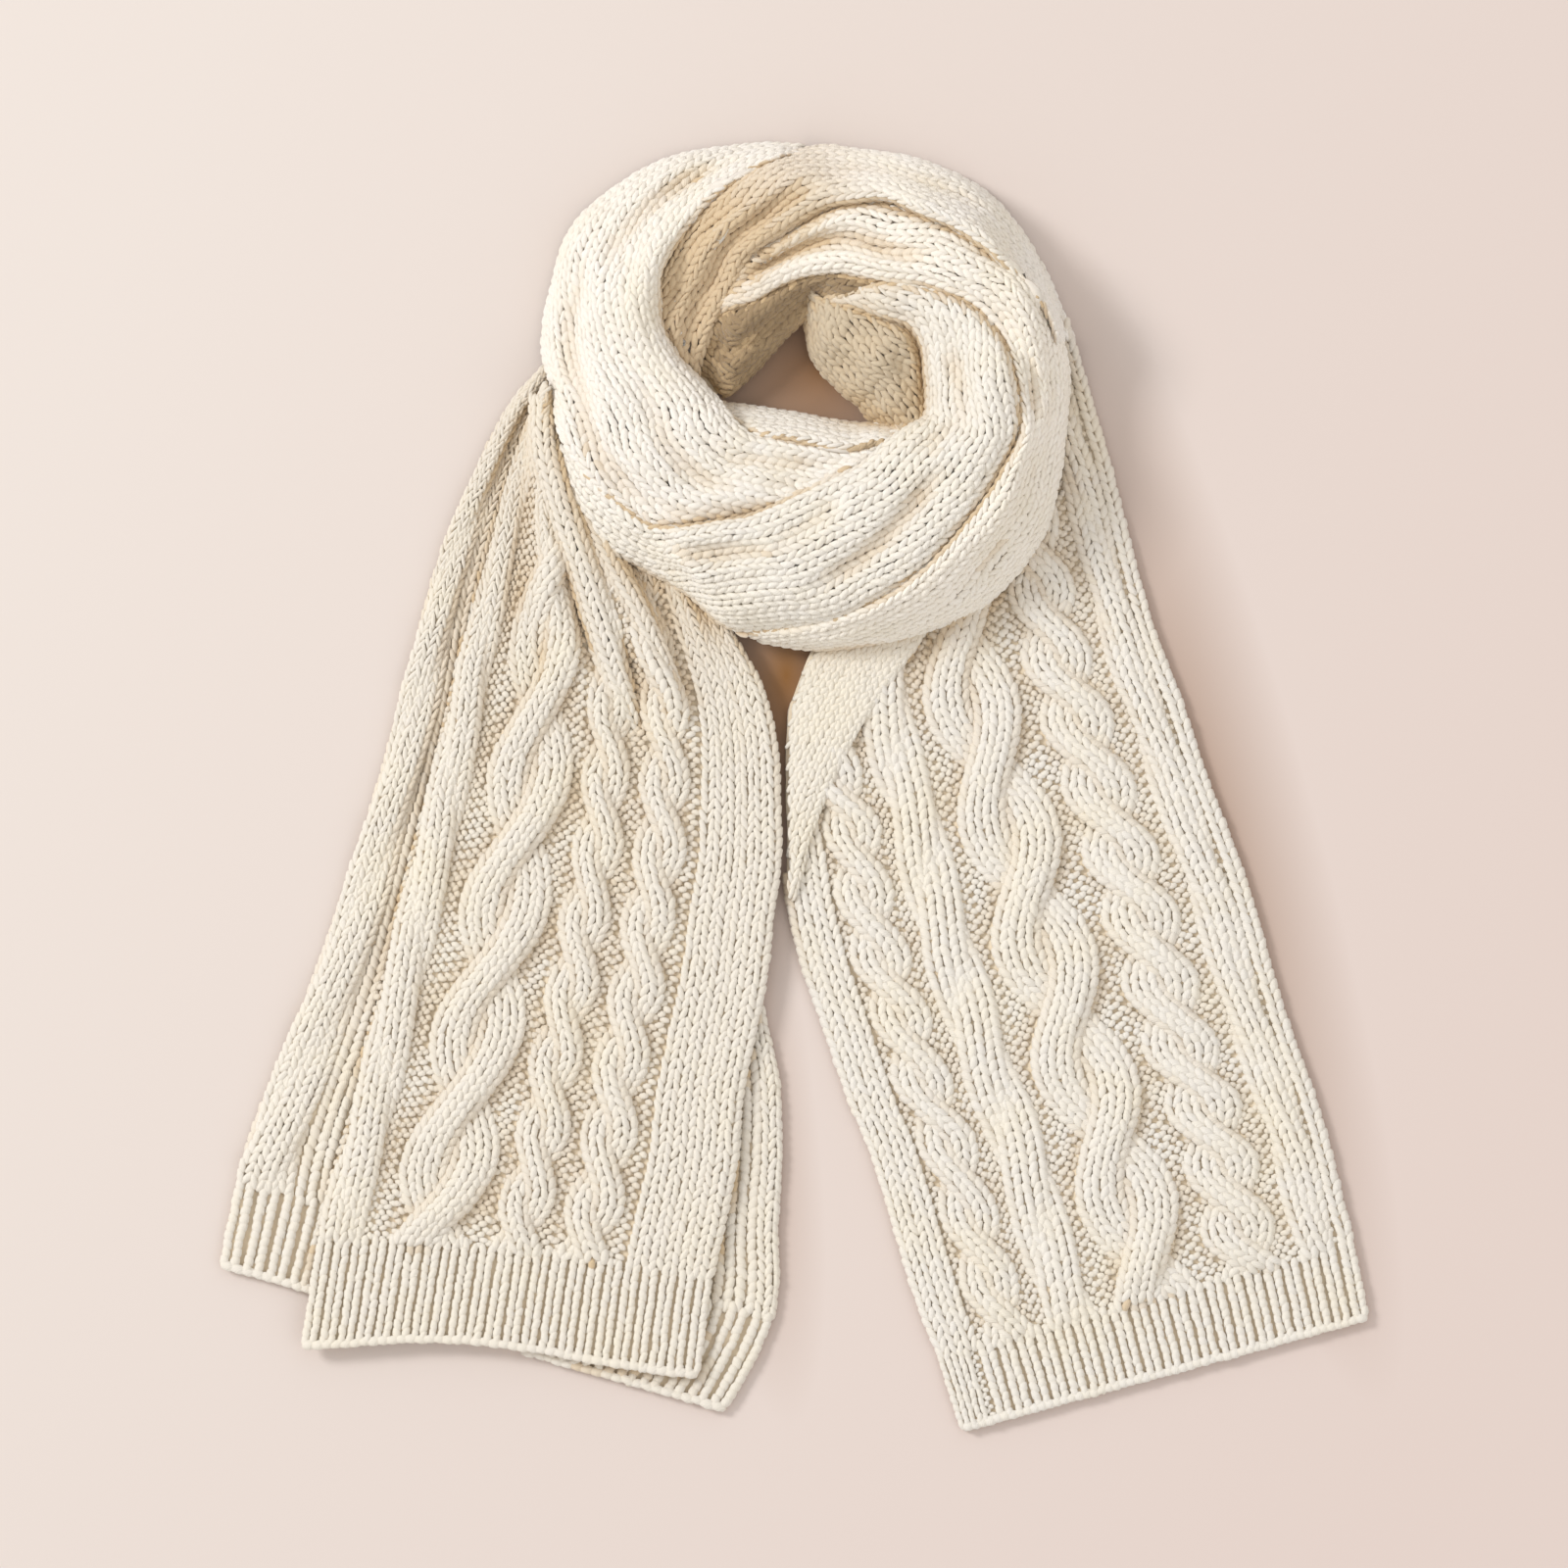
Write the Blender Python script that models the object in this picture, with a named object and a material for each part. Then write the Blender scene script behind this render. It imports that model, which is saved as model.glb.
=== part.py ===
"""A cream cable-knit scarf, wound into a ring of two wraps and lying flat, with its ribbed tails below.

Sizes are in millimetres and are turned into metres where a mesh is made. The scarf lies on z = 0. X runs to
the right across the tails and Y away from the hems. The tails are panels with a flat underside, whose cables
and ribs stand up from it. Each stretch of the ring is an arched wall of cloth between two edges, and the
layers hidden inside the ring share one rounded solid.
"""

import bmesh
import bpy
import numpy as np
from mathutils import Vector
from mathutils.bvhtree import BVHTree

MM = 0.001

CLOTH = 4.5  # thickness of the purl ground
WALL = 5.0  # thickness of a stretch of the ring
EDGE = 2.0  # thickness at a rolled side edge
LEAST_WALL = 0.3  # the wall of a narrow stretch, as a part of its width
INNER_SAG = 0.4  # the underside of a wall hangs this part of its thickness below the edge
SEAM = 0.5  # clear gap between two pieces
ROW = 13.0  # spacing of the mesh rows along a tail

RIBS = 22  # ribs across a hem
RIB_LOW = 4.0  # thickness of a hem between its ribs
RIB_RISE = 1.6
RIB_STEPS = 4  # columns of points across one rib
HEM_ROWS = 2
HEM_SEAM = 0.015  # gap between a tail and its hem, as a part of the hem's height
LAYER = RIB_LOW + RIB_RISE + SEAM  # height of the second layer's underside

# Bands across a tail, from its left edge. "from" and "to" are parts of the width, "rise" stands above the
# ground. A roll is plain stockinette; a rope has two strands that cross every "pitch", the first one "first"
# above the hem, and the strand in front leans to the right (1) or the left (-1) on its way up.
# from, to, kind, columns, rise, pitch, first, lean
RIGHT_BANDS = (
    (0.000, 0.100, "roll", 4, 1.8, 0, 0, 0),
    (0.110, 0.235, "rope", 6, 3.4, 35, 12, -1),
    (0.265, 0.380, "roll", 4, 2.0, 0, 0, 0),
    (0.415, 0.635, "rope", 9, 5.0, 69, 21, 1),
    (0.675, 0.830, "rope", 7, 3.8, 35.5, 9, -1),
    (0.870, 1.000, "roll", 4, 2.0, 0, 0, 0),
)
LEFT_BANDS = (
    (0.000, 0.135, "roll", 4, 2.2, 0, 0, 0),
    (0.165, 0.410, "rope", 9, 5.0, 70, 14, 1),
    (0.437, 0.563, "rope", 6, 3.6, 40, 12, -1),
    (0.600, 0.740, "rope", 6, 3.6, 40, 12, -1),
    (0.776, 0.888, "roll", 3, 1.8, 0, 0, 0),
    (0.888, 1.000, "roll", 3, 1.8, 0, 0, 0),
)
UNDER_BANDS = (
    (0.000, 0.075, "roll", 4, 2.0, 0, 0, 0),
    (0.960, 1.000, "roll", 3, 1.0, 0, 0, 0),
)
ROPE_HALF = 0.52  # half-width of a strand, as a part of the rope's half-width
ROPE_SWING = 0.5  # how far a strand swings to each side of the middle
ROPE_MIDDLE = 0.72  # height of a strand between crossings, as a part of the rise
ROPE_FRONT = 0.3  # how much higher the front strand is at a crossing, and how much lower the back one

# Side edges of each tail, from the ring down to the hem's lower edge. The last two rows bound the hem.
# left x, left y, right x, right y
RIGHT_EDGES = (
    (-39, 190, 145, 249),
    (-36, 158, 157, 210),
    (-31, 117, 169, 169),
    (-24, 78, 181, 122),
    (-22, 40, 192, 83),
    (-18, 2, 206, 47),
    (-8, -30, 219, 8),
    (-4, -60, 232, -26),
    (4, -94, 243, -57),
    (16, -128, 254, -96),
    (27, -161, 264, -128),
    (41, -195, 275, -158),
    (53, -234, 284, -187),
    (65, -273, 292, -220),
    (76, -302, 298, -241),
    (88, -340, 306, -280),
)
LEFT_EDGES = (
    (-138, 200, -88, 138),
    (-143, 190, -72, 129),
    (-155, 153, -48, 110),
    (-170, 96, -30, 79),
    (-179, 65, -16, 52),
    (-186, 34, -9, 23),
    (-194, 2, -7, -8),
    (-201, -29, -7, -39),
    (-209, -60, -11, -70),
    (-216, -91, -15, -104),
    (-224, -122, -21, -133),
    (-231, -154, -27, -164),
    (-239, -185, -30, -198),
    (-247, -211, -36, -229),
    (-253, -238, -42, -258),
    (-262, -295, -49, -311),
)
UNDER_EDGES = (
    (-130, 226, -112, 178),
    (-153, 200, -92, 145),
    (-174, 158, -66, 106),
    (-192, 112, -46, 54),
    (-205, 65, -26, -8),
    (-219, 13, -23, -50),
    (-235, -39, -20, -91),
    (-250, -83, -13, -128),
    (-263, -117, -7, -159),
    (-281, -161, -6, -195),
    (-291, -187, -8, -232),
    (-297, -208, -10, -282),
    (-306, -252, -34, -330),
)

# The right tail's left edge is turned over onto it: where along the edges, the fold and the free edge,
# both as parts of the width.
# place, fold, free
TURN = (
    (3.00, 0.190, 0.500),
    (3.45, 0.140, 0.440),
    (4.00, 0.094, 0.340),
    (4.50, 0.075, 0.256),
    (5.00, 0.062, 0.190),
    (5.50, 0.040, 0.130),
    (6.00, 0.020, 0.075),
    (6.60, 0.005, 0.045),
    (7.00, 0.000, 0.022),
)
TURN_RISE = 5.0  # thickness of the turned edge
TURN_START = 2.9  # place along the edges where it comes out from under the ring
TURN_EDGE = 0.45  # thickness of its edges, as a part of the rise
TURN_ROWS = 22
TURN_COLUMNS = 7
PRESSED = (0.5, 0.09)  # the tail lies flat under it and this far past it: places, part of the width

# Where the right tail comes out of the ring's layers: a place along the edges for each part of the width.
# part, place
RIGHT_TOP = (
    (0.00, 2.85),
    (0.20, 2.87),
    (0.35, 2.93),
    (0.50, 2.87),
    (0.61, 2.73),
    (0.71, 2.25),
    (0.79, 1.63),
    (0.85, 0.85),
    (1.00, 0.15),
)
RIGHT_LIFT = 16.0  # how far the right tail's upper corner climbs to the top wrap
LIFT_END = 1.2  # place along the edges where the climb starts

# Folds that gather the left tail where the ring holds it.
# place of the top, part there, place of the end, part there, rise, half-width
LEFT_FOLDS = (
    (0.0, 0.30, 4.6, 0.62, 6.0, 0.10),
    (0.0, 0.75, 4.8, 0.86, 5.0, 0.07),
)
FOLD_FADE = 0.7  # how the folds die out on their way down: 1 is a straight line

# Stretches of the ring. Each row is one section across the stretch: its outer edge, its inner edge and how
# far its arch rises above the line between them.
# outer x, outer y, outer z, inner x, inner y, inner z, crown
LEFT_WRAP = (
    (3, 339.5, 3, 1, 335.5, 22, 4),
    (-13, 340.6, 3, -12, 331, 34, 8),
    (-42, 338, 3, -37, 316, 34, 12),
    (-68, 332, 3, -55, 297, 32, 16),
    (-96, 316, 3, -69, 275, 34, 20),
    (-118, 294, 3, -72, 260, 34, 24),
    (-128, 262, 3, -71, 244, 34, 26),
    (-132, 234, 5, -63, 228, 34, 26),
    (-126, 209, 20, -53, 218, 34, 24),
    (-122, 186, 32, -42, 207, 34, 20),
    (-110, 168, 38, -36, 199, 38, 16),
    (-93, 151, 40, -29, 191, 40, 13),
    (-74, 139, 41, -20, 185, 40, 12),
    (-51, 139, 42, -5, 183, 39, 10),
    (-21, 146, 42, 13, 179, 38, 8),
    (6, 158, 42, 30, 177, 38, 6),
    (30, 169, 42, 45, 180, 38, 4),
)
HOLE_LIP = (
    (-37, 204, 8, -27, 191, 34, 6),
    (-23, 202, 6, -18, 186, 36, 12),
    (-5, 199, 5, -4, 185, 37, 13),
    (13, 196, 5, 14, 181, 36, 13),
    (31, 193, 5, 30, 179, 36, 13),
    (45, 191, 5, 43, 182, 36, 12),
)
TOP_WRAP = (
    (-61, 230, 22, -50, 219, 14, 4),
    (-70, 246, 24, -48, 230, 18, 8),
    (-71, 261, 26, -38, 253, 24, 9),
    (-68, 275, 28, -30, 265, 28, 11),
    (-55, 296, 30, -23, 280, 34, 13),
    (-36, 315, 32, -6, 292, 40, 15),
    (-11, 330, 32, 15, 304, 44, 16),
    (13, 339, 6, 31, 308, 46, 20),
    (36, 337, 4, 49, 309, 47, 22),
    (62, 333, 4, 65, 302, 48, 24),
    (86, 324, 4, 82, 295, 48, 24),
    (107, 310, 4, 99, 284, 48, 22),
    (122, 291, 4, 113, 272, 47, 18),
    (134, 270, 4, 126, 261, 46, 12),
    (141, 253, 4, 135, 247, 44, 6),
)
OUTER_WRAP = (
    (-23, 280, 34, -35, 253, 28, 6),
    (-5, 292, 38, -20, 258, 32, 9),
    (16, 303, 42, 1, 268, 36, 11),
    (36, 308, 44, 25, 271, 40, 12),
    (61, 303, 46, 49, 266, 44, 13),
    (85, 293, 46, 70, 263, 45, 13),
    (107, 277, 46, 91, 254, 45, 13),
    (124, 262, 46, 106, 239, 45, 13),
    (137, 244, 44, 115, 221, 45, 14),
    (144, 221, 36, 118, 200, 45, 16),
    (143, 195, 26, 118, 184, 45, 20),
    (139, 164, 18, 110, 168, 45, 20),
    (131, 135, 16, 101, 153, 44, 20),
    (115, 112, 14, 85, 133, 43, 18),
    (94, 94, 14, 66, 114, 41, 16),
    (65, 83, 10.6, 44, 99, 37, 14),
    (39, 77, 10.4, 19, 89, 31, 10),
    (10, 74, 10, -9, 84, 23, 7),
    (-18, 78, 10, -30, 82, 15, 3),
)
FRONT_WRAP = (
    (32, 262, 44, 27, 254, 40, 3),
    (49, 265, 46, 46, 248, 36, 8),
    (70, 262, 46, 60, 243, 34, 11),
    (91, 254, 46, 67, 232, 30, 15),
    (107, 238, 46, 69, 218, 26, 20),
    (116, 216, 46, 70, 205, 24, 24),
    (118, 191, 46, 69, 196, 30, 22),
    (113, 175, 46, 60, 190, 42, 16),
    (102, 155, 45, 50, 183, 46, 14),
    (85, 134, 44, 35, 170, 46, 13),
    (65, 114, 42, 20, 163, 46, 13),
    (43, 100, 38, 5, 156, 46, 14),
    (18, 90, 32, -21, 144, 46, 16),
    (-10, 86, 24, -41, 140, 46, 18),
    (-35, 86, 14, -60, 137, 46, 20),
    (-57, 104, 16, -68, 137, 45, 16),
    (-81, 118, 15.6, -78, 139, 43, 12),
    (-99, 127, 17.2, -88, 146, 41, 10),
    (-111, 143, 18.4, -100, 156, 39, 8),
    (-119, 159, 18, -109, 166, 37, 6),
    (-126, 179, 19, -120, 182, 32, 3),
)
INNER_BACK = (
    (-36, 251, 24, -45, 217.5, 5, 8),
    (-28, 254, 28, -35, 209, 5, 12),
    (-16, 258, 31, -18, 224, 6, 12),
    (-2, 265, 34, -5, 238, 9, 11),
    (11, 269, 37, 7, 249, 16, 9),
    (24, 269, 39, 19, 256, 24, 6),
)
RIGHT_FOLD = (
    (16, 254, 34, 5, 244, 14, 8),
    (31, 251, 34, 10, 229, 7, 14),
    (47, 246, 33, 18, 218, 5, 17),
    (59, 240, 32, 27, 209, 5, 20),
    (65, 228, 26, 35, 203, 5, 18),
    (67, 214, 22, 39, 197, 5, 14),
    (67, 201, 22, 43, 193, 5, 11),
)

# Creases between the rolls of a stretch: the section where each starts and ends, the part of the way across
# there, its depth and its half-width as a part of the way across.
# first section, part, last section, part, depth, half-width
CREASES = {
    "left_wrap": (
        (5.0, 0.20, 12.4, 0.08, 4.0, 0.07),
        (4.0, 0.40, 6.0, 0.92, 4.0, 0.08),
        (6.5, 0.62, 13.5, 0.45, 2.0, 0.10),
    ),
    "top_wrap": ((0.5, 0.60, 7.0, 0.62, 3.5, 0.08),),
    "outer_wrap": ((0.5, 0.35, 5.0, 0.55, 3.0, 0.10),),
    "front_wrap": (
        (8.0, 0.45, 14.0, 0.30, 2.5, 0.08),
        (9.0, 0.72, 17.0, 0.55, 2.0, 0.07),
    ),
    "inner_back": ((0.0, 0.50, 5.0, 0.50, 5.0, 0.10),),
}

CREASE_FADE = 4  # a crease is at its full depth between these parts, 1 / 4 and 3 / 4, of its length
CREASE_CROWN = 8  # a flatter stretch than this has shallower creases
ARCH_POWER = 2.4  # 2 is an ellipse: more is a flatter top with steeper edges

# The hidden layers: outlines seen from above, round the ring's middle.
RING_MIDDLE = (3, 218)
CORE_OUTSIDE = (
    (120, 262),
    (120, 221),
    (117, 190),
    (104, 153),
    (88, 130),
    (68, 117),
    (42, 106),
    (16, 102),
    (-16, 102),
    (-42, 117),
    (-62, 135),
    (-83, 156),
    (-101, 182),
    (-109, 210),
    (-114, 242),
    (-109, 273),
    (-94, 296),
    (-68, 314),
    (-36, 322),
    (-5, 322),
    (26, 320),
    (57, 317),
    (86, 306),
    (107, 286),
)
CORE_INSIDE = (
    (54, 187),
    (31, 190),
    (-5, 196),
    (-33, 200),
    (-42, 210),
    (-37, 213),
    (-21, 228),
    (-8, 242),
    (5, 253),
    (13, 240),
    (15, 228),
    (22, 219),
    (31, 211),
    (40, 204),
    (46, 195),
)
CORE_TURNS = 60  # mesh steps round the core
CORE_STEPS = 9  # and from its inside to its outside
CORE_REACH = 10.0  # how far round each point the core looks for the cloth above it
CORE_RIM_REACH = 4.0  # and near its inner rim, where only the edges of the folds in the hole lie above it
CORE_RIM_STEPS = 1  # the last step that counts as near the rim
CORE_LOOKS = 9  # looks along each side of that
CORE_GAP = 0.6  # clear gap above it
CORE_LEAST = 2.5  # least height of the core

SHARP = 50  # degrees over which an edge is shown sharp
IVORY = (0.83, 0.76, 0.64)
SHADED_IVORY = (0.72, 0.61, 0.44)


def clear_scene():
    for thing in list(bpy.data.objects):
        bpy.data.objects.remove(thing)


def yarn(name, colour):
    """Matt wool of one colour."""
    material = bpy.data.materials.new(name)
    material.use_nodes = True
    shader = material.node_tree.nodes["Principled BSDF"]
    shader.inputs["Base Color"].default_value = (*colour, 1)
    shader.inputs["Roughness"].default_value = 0.95
    shader.inputs["Metallic"].default_value = 0
    return material


def place_object(name, bm, colour):
    """Finish a closed bmesh as a named object."""
    bmesh.ops.recalc_face_normals(bm, faces=bm.faces)
    mesh = bpy.data.meshes.new(name)
    bm.to_mesh(mesh)
    mesh.shade_smooth()
    mesh.set_sharp_from_angle(angle=np.radians(SHARP))
    mesh.materials.append(yarn(name + "_yarn", colour))
    bpy.context.scene.collection.objects.link(bpy.data.objects.new(name, mesh))


def on_curve(table, place):
    """The table's row at this place, 0 to its last row, on a smooth curve through all of them."""
    rows = np.array(table, float)
    last = len(rows) - 1
    index = min(int(place), last - 1)
    f = place - index
    a, b, c, d = (rows[min(max(index + step, 0), last)] for step in (-1, 0, 1, 2))
    return 0.5 * (2 * b + (c - a) * f + (2 * a - 5 * b + 4 * c - d) * f**2 + (3 * b - a - 3 * c + d) * f**3)


def column(table, place, number):
    """One column of a table whose first column is the place, read between its rows."""
    rows = np.array(table, float)
    return float(np.interp(place, rows[:, 0], rows[:, number]))


# Tails


def across(edges, part, place):
    """The point of a tail at this part of its width and this place along its edges."""
    left_x, left_y, right_x, right_y = on_curve(edges, place)
    return np.array((left_x + (right_x - left_x) * part, left_y + (right_y - left_y) * part))


def height_above_hem(edges, hem_top):
    """A function from a place along the edges to the distance above the hem, along the middle."""
    places = np.linspace(0, hem_top, 120)
    middle = np.array([across(edges, 0.5, place) for place in places])
    steps = np.hypot(*np.diff(middle, axis=0).T)
    above = np.append(np.cumsum(steps[::-1])[::-1], 0)
    return lambda place: float(np.interp(place, places, above))


def strand(offset, half_width):
    """The round back of a strand, 1 at its middle."""
    return max(0.0, 1 - (offset / half_width) ** 2) ** 0.5


def band_rise(band, part, above_hem):
    """How far a band stands above the ground here."""
    start, end, kind, _, rise, pitch, first, lean = band
    if not start <= part <= end:
        return 0.0
    side = 2 * (part - start) / (end - start) - 1
    if kind == "roll":
        return rise * max(0.0, 1 - side**4) ** 0.5
    turn = np.pi * (above_hem - first) / pitch
    middle = ROPE_SWING * np.sin(turn)
    front = ROPE_FRONT * lean * np.cos(turn)
    return rise * max(
        (ROPE_MIDDLE + front) * strand(side - middle, ROPE_HALF),
        (ROPE_MIDDLE - front) * strand(side + middle, ROPE_HALF),
    )


def fold_rise(folds, part, place):
    """How far the gathering folds stand up here."""
    total = 0.0
    for top, top_part, end, end_part, rise, half_width in folds:
        if place < end:
            f = (place - top) / (end - top)
            middle = top_part + (end_part - top_part) * f
            total = max(total, rise * (1 - f) ** FOLD_FADE * np.exp(-(((part - middle) / half_width) ** 2)))
    return total


def columns_of(bands):
    """Parts of the width at which a tail has a column of points: the bands' own and both edges."""
    parts = {0.0, 1.0}
    for start, end, _, count, *_ in bands:
        parts |= set(np.linspace(start, end, count + 1).round(4))
    return sorted(parts)


def flat_bottomed(name, points, bottom, colour):
    """A closed solid under a grid of points (rows, columns, 3), with upright sides and a flat underside."""
    rows, columns, _ = points.shape
    bm = bmesh.new()
    bmesh.ops.create_grid(bm, x_segments=columns - 1, y_segments=rows - 1, size=1)
    for vert, point in zip(bm.verts, points.reshape(-1, 3)):
        vert.co = Vector(point) * MM
    rim = [edge for edge in bm.edges if edge.is_boundary]
    skirt = bmesh.ops.extrude_edge_only(bm, edges=rim)["geom"]
    for part in skirt:
        if isinstance(part, bmesh.types.BMVert):
            part.co.z = bottom * MM
    low = [part for part in skirt if isinstance(part, bmesh.types.BMEdge) and part.is_boundary]
    bmesh.ops.edgeloop_fill(bm, edges=low)
    place_object(name, bm, colour)


def make_tail(name, edges, bands, bottom, hem_top, top=((0, 0), (1, 0)), turn=None, lift=0.0, folds=()):
    """One tail, from the ring to its hem."""
    above_hem = height_above_hem(edges, hem_top)
    parts = columns_of(bands)
    count = int(above_hem(0) / ROW)
    grid = []
    for row in range(count + 1):
        line = []
        for part in parts:
            first = column(top, part, 1)
            place = first + (hem_top - first) * row / count
            fold = column(turn, place, 1) if turn else 0
            wide = fold + (1 - fold) * part
            x, y = across(edges, wide, place)
            pressed = turn and place < turn[-1][0] + PRESSED[0] and wide < column(turn, place, 2) + PRESSED[1]
            rise = 0 if pressed else max(band_rise(band, wide, above_hem(place)) for band in bands)
            rise += fold_rise(folds, wide, place) + lift * max(0.0, 1 - place / LIFT_END) ** 2
            line.append((x, y, bottom + (EDGE if part in (0, 1) else CLOTH + rise)))
        grid.append(line)
    flat_bottomed(name, np.array(grid), bottom, IVORY)


def make_hem(name, edges, bottom, hem_top):
    """The ribbed hem below a tail, from a seam under it to the cast-off edge."""
    steps = RIB_STEPS * RIBS
    last = len(edges) - 1
    grid = []
    for row in range(HEM_ROWS + 1):
        place = hem_top + HEM_SEAM + (last - hem_top - HEM_SEAM) * row / HEM_ROWS
        line = []
        for step in range(steps + 1):
            x, y = across(edges, step / steps, place)
            rib = RIB_RISE * (0.5 - 0.5 * np.cos(2 * np.pi * step / RIB_STEPS))
            thick = EDGE if step in (0, steps) else RIB_LOW + rib
            line.append((x, y, bottom + thick))
        grid.append(line)
    flat_bottomed(name, np.array(grid), bottom, IVORY)


def make_turned_edge():
    """The right tail's left edge, folded over and lying on the tail, wrong side up."""
    low = CLOTH + SEAM
    grid = []
    for row in range(TURN_ROWS + 1):
        place = TURN_START + (TURN[-1][0] - TURN_START) * row / TURN_ROWS
        fold = column(TURN, place, 1)
        free = column(TURN, place, 2)
        line = []
        for step in range(TURN_COLUMNS + 1):
            f = step / TURN_COLUMNS
            x, y = across(RIGHT_EDGES, fold + (free - fold) * f, place)
            line.append((x, y, low + TURN_RISE * (TURN_EDGE + (1 - TURN_EDGE) * strand(2 * f - 1, 1))))
        grid.append(line)
    flat_bottomed("right_tail_turn", np.array(grid), low, SHADED_IVORY)


# Ring


def arch(part):
    """The arch of a stretch, 0 at both edges and 1 in the middle, steep at the edges."""
    return max(0.0, 1 - abs(2 * part - 1) ** ARCH_POWER) ** 0.5


def crease_depth(creases, place, part):
    """How far the creases cut into a stretch here."""
    depth = 0.0
    for first, first_part, last, last_part, deepest, half_width in creases:
        if first <= place <= last:
            f = (place - first) / (last - first)
            middle = first_part + (last_part - first_part) * f
            fade = min(1.0, CREASE_FADE * f, CREASE_FADE * (1 - f))
            depth = max(depth, deepest * fade * np.exp(-(((part - middle) / half_width) ** 2)))
    return depth


def make_stretch(name, sections, colour, steps_per_section=1.5, steps=10):
    """A stretch of the ring as an arched wall of cloth, and a tree of its faces."""
    last = len(sections) - 1
    count = int(last * steps_per_section)
    creases = CREASES.get(name, ())
    bm = bmesh.new()
    rings = []
    for row in range(count + 1):
        place = last * row / count
        section = on_curve(sections, place)
        outer, inner, crown = section[:3], section[3:6], section[6]
        line = inner - outer
        width = np.hypot(line[0], line[1])
        outer = outer + line * SEAM / width
        inner = inner - line * SEAM / width
        line = inner - outer
        thick = min(WALL, LEAST_WALL * width)
        ring = []
        for step in range(steps + 1):
            part = 0.5 - 0.5 * np.cos(np.pi * step / steps)
            point = outer + line * part
            cut = crease_depth(creases, place, part) * min(1.0, crown / CREASE_CROWN)
            point[2] += crown * arch(part) - cut
            ring.append(bm.verts.new(Vector(point) * MM))
        for step in range(steps, -1, -2):
            part = 0.5 - 0.5 * np.cos(np.pi * step / steps)
            inset = thick / width
            point = outer + line * (inset + (1 - 2 * inset) * part)
            point[2] += max(0.0, crown - thick) * arch(part) - (INNER_SAG * thick if 0 < step < steps else 0)
            ring.append(bm.verts.new(Vector(point) * MM))
        rings.append(ring)
    for above, below in zip(rings, rings[1:]):
        for index in range(len(above)):
            after = (index + 1) % len(above)
            bm.faces.new((above[index], above[after], below[after], below[index]))
    bm.faces.new(rings[0])
    bm.faces.new(rings[-1])
    place_object(name, bm, colour)
    return BVHTree.FromBMesh(bm)


def outline_radius(outline, angle):
    """How far an outline lies from the ring's middle in this direction."""
    away = np.array(outline, float) - RING_MIDDLE
    angles = np.arctan2(away[:, 1], away[:, 0])
    order = np.argsort(angles)
    return float(np.interp(angle, angles[order], np.hypot(*away[order].T), period=2 * np.pi))


def cloth_above(trees, x, y, reach):
    """Height of the lowest cloth over the floor near here."""
    lowest = []
    for dx in np.linspace(-reach, reach, CORE_LOOKS):
        for dy in np.linspace(-reach, reach, CORE_LOOKS):
            start = Vector((x + dx, y + dy, -1)) * MM
            hits = [tree.ray_cast(start, Vector((0, 0, 1)))[0] for tree in trees]
            lowest += [hit.z / MM for hit in hits if hit]
    return min(lowest, default=CORE_LEAST)


def make_core(trees):
    """The layers hidden inside the ring, as one rounded solid under the stretches that show."""
    bm = bmesh.new()
    rings = []
    for turn in range(CORE_TURNS):
        angle = 2 * np.pi * turn / CORE_TURNS - np.pi
        inside = outline_radius(CORE_INSIDE, angle)
        outside = outline_radius(CORE_OUTSIDE, angle)
        ring = []
        for step in range(CORE_STEPS + 1):
            radius = inside + (outside - inside) * step / CORE_STEPS
            x = RING_MIDDLE[0] + radius * np.cos(angle)
            y = RING_MIDDLE[1] + radius * np.sin(angle)
            reach = CORE_REACH if step > CORE_RIM_STEPS else CORE_RIM_REACH
            z = max(CORE_LEAST, cloth_above(trees, x, y, reach) - CORE_GAP)
            if step == 0:
                ring.append(bm.verts.new(Vector((x, y, 0)) * MM))
            ring.append(bm.verts.new(Vector((x, y, z)) * MM))
            if step == CORE_STEPS:
                ring.append(bm.verts.new(Vector((x, y, 0)) * MM))
        rings.append(ring)
    for here, there in zip(rings, rings[1:] + rings[:1]):
        for index in range(len(here)):
            after = (index + 1) % len(here)
            bm.faces.new((here[index], here[after], there[after], there[index]))
    place_object("ring_core", bm, SHADED_IVORY)


clear_scene()

make_tail("right_tail", RIGHT_EDGES, RIGHT_BANDS, 0, 14, top=RIGHT_TOP, turn=TURN, lift=RIGHT_LIFT)
make_turned_edge()
make_hem("right_hem", RIGHT_EDGES, 0, 14)
make_tail("under_tail", UNDER_EDGES, UNDER_BANDS, 0, 11)
make_hem("under_hem", UNDER_EDGES, 0, 11)
make_tail("left_tail", LEFT_EDGES, LEFT_BANDS, LAYER, 14, folds=LEFT_FOLDS)
make_hem("left_hem", LEFT_EDGES, LAYER, 14)

STRETCHES = (
    ("left_wrap", LEFT_WRAP, IVORY),
    ("hole_lip", HOLE_LIP, IVORY),
    ("top_wrap", TOP_WRAP, IVORY),
    ("outer_wrap", OUTER_WRAP, IVORY),
    ("front_wrap", FRONT_WRAP, IVORY),
    ("inner_back", INNER_BACK, SHADED_IVORY),
    ("right_fold", RIGHT_FOLD, SHADED_IVORY),
)
make_core([make_stretch(name, sections, colour) for name, sections, colour in STRETCHES])
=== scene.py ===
import bmesh
import bpy
import numpy as np
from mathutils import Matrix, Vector
from mathutils.bvhtree import BVHTree


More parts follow.
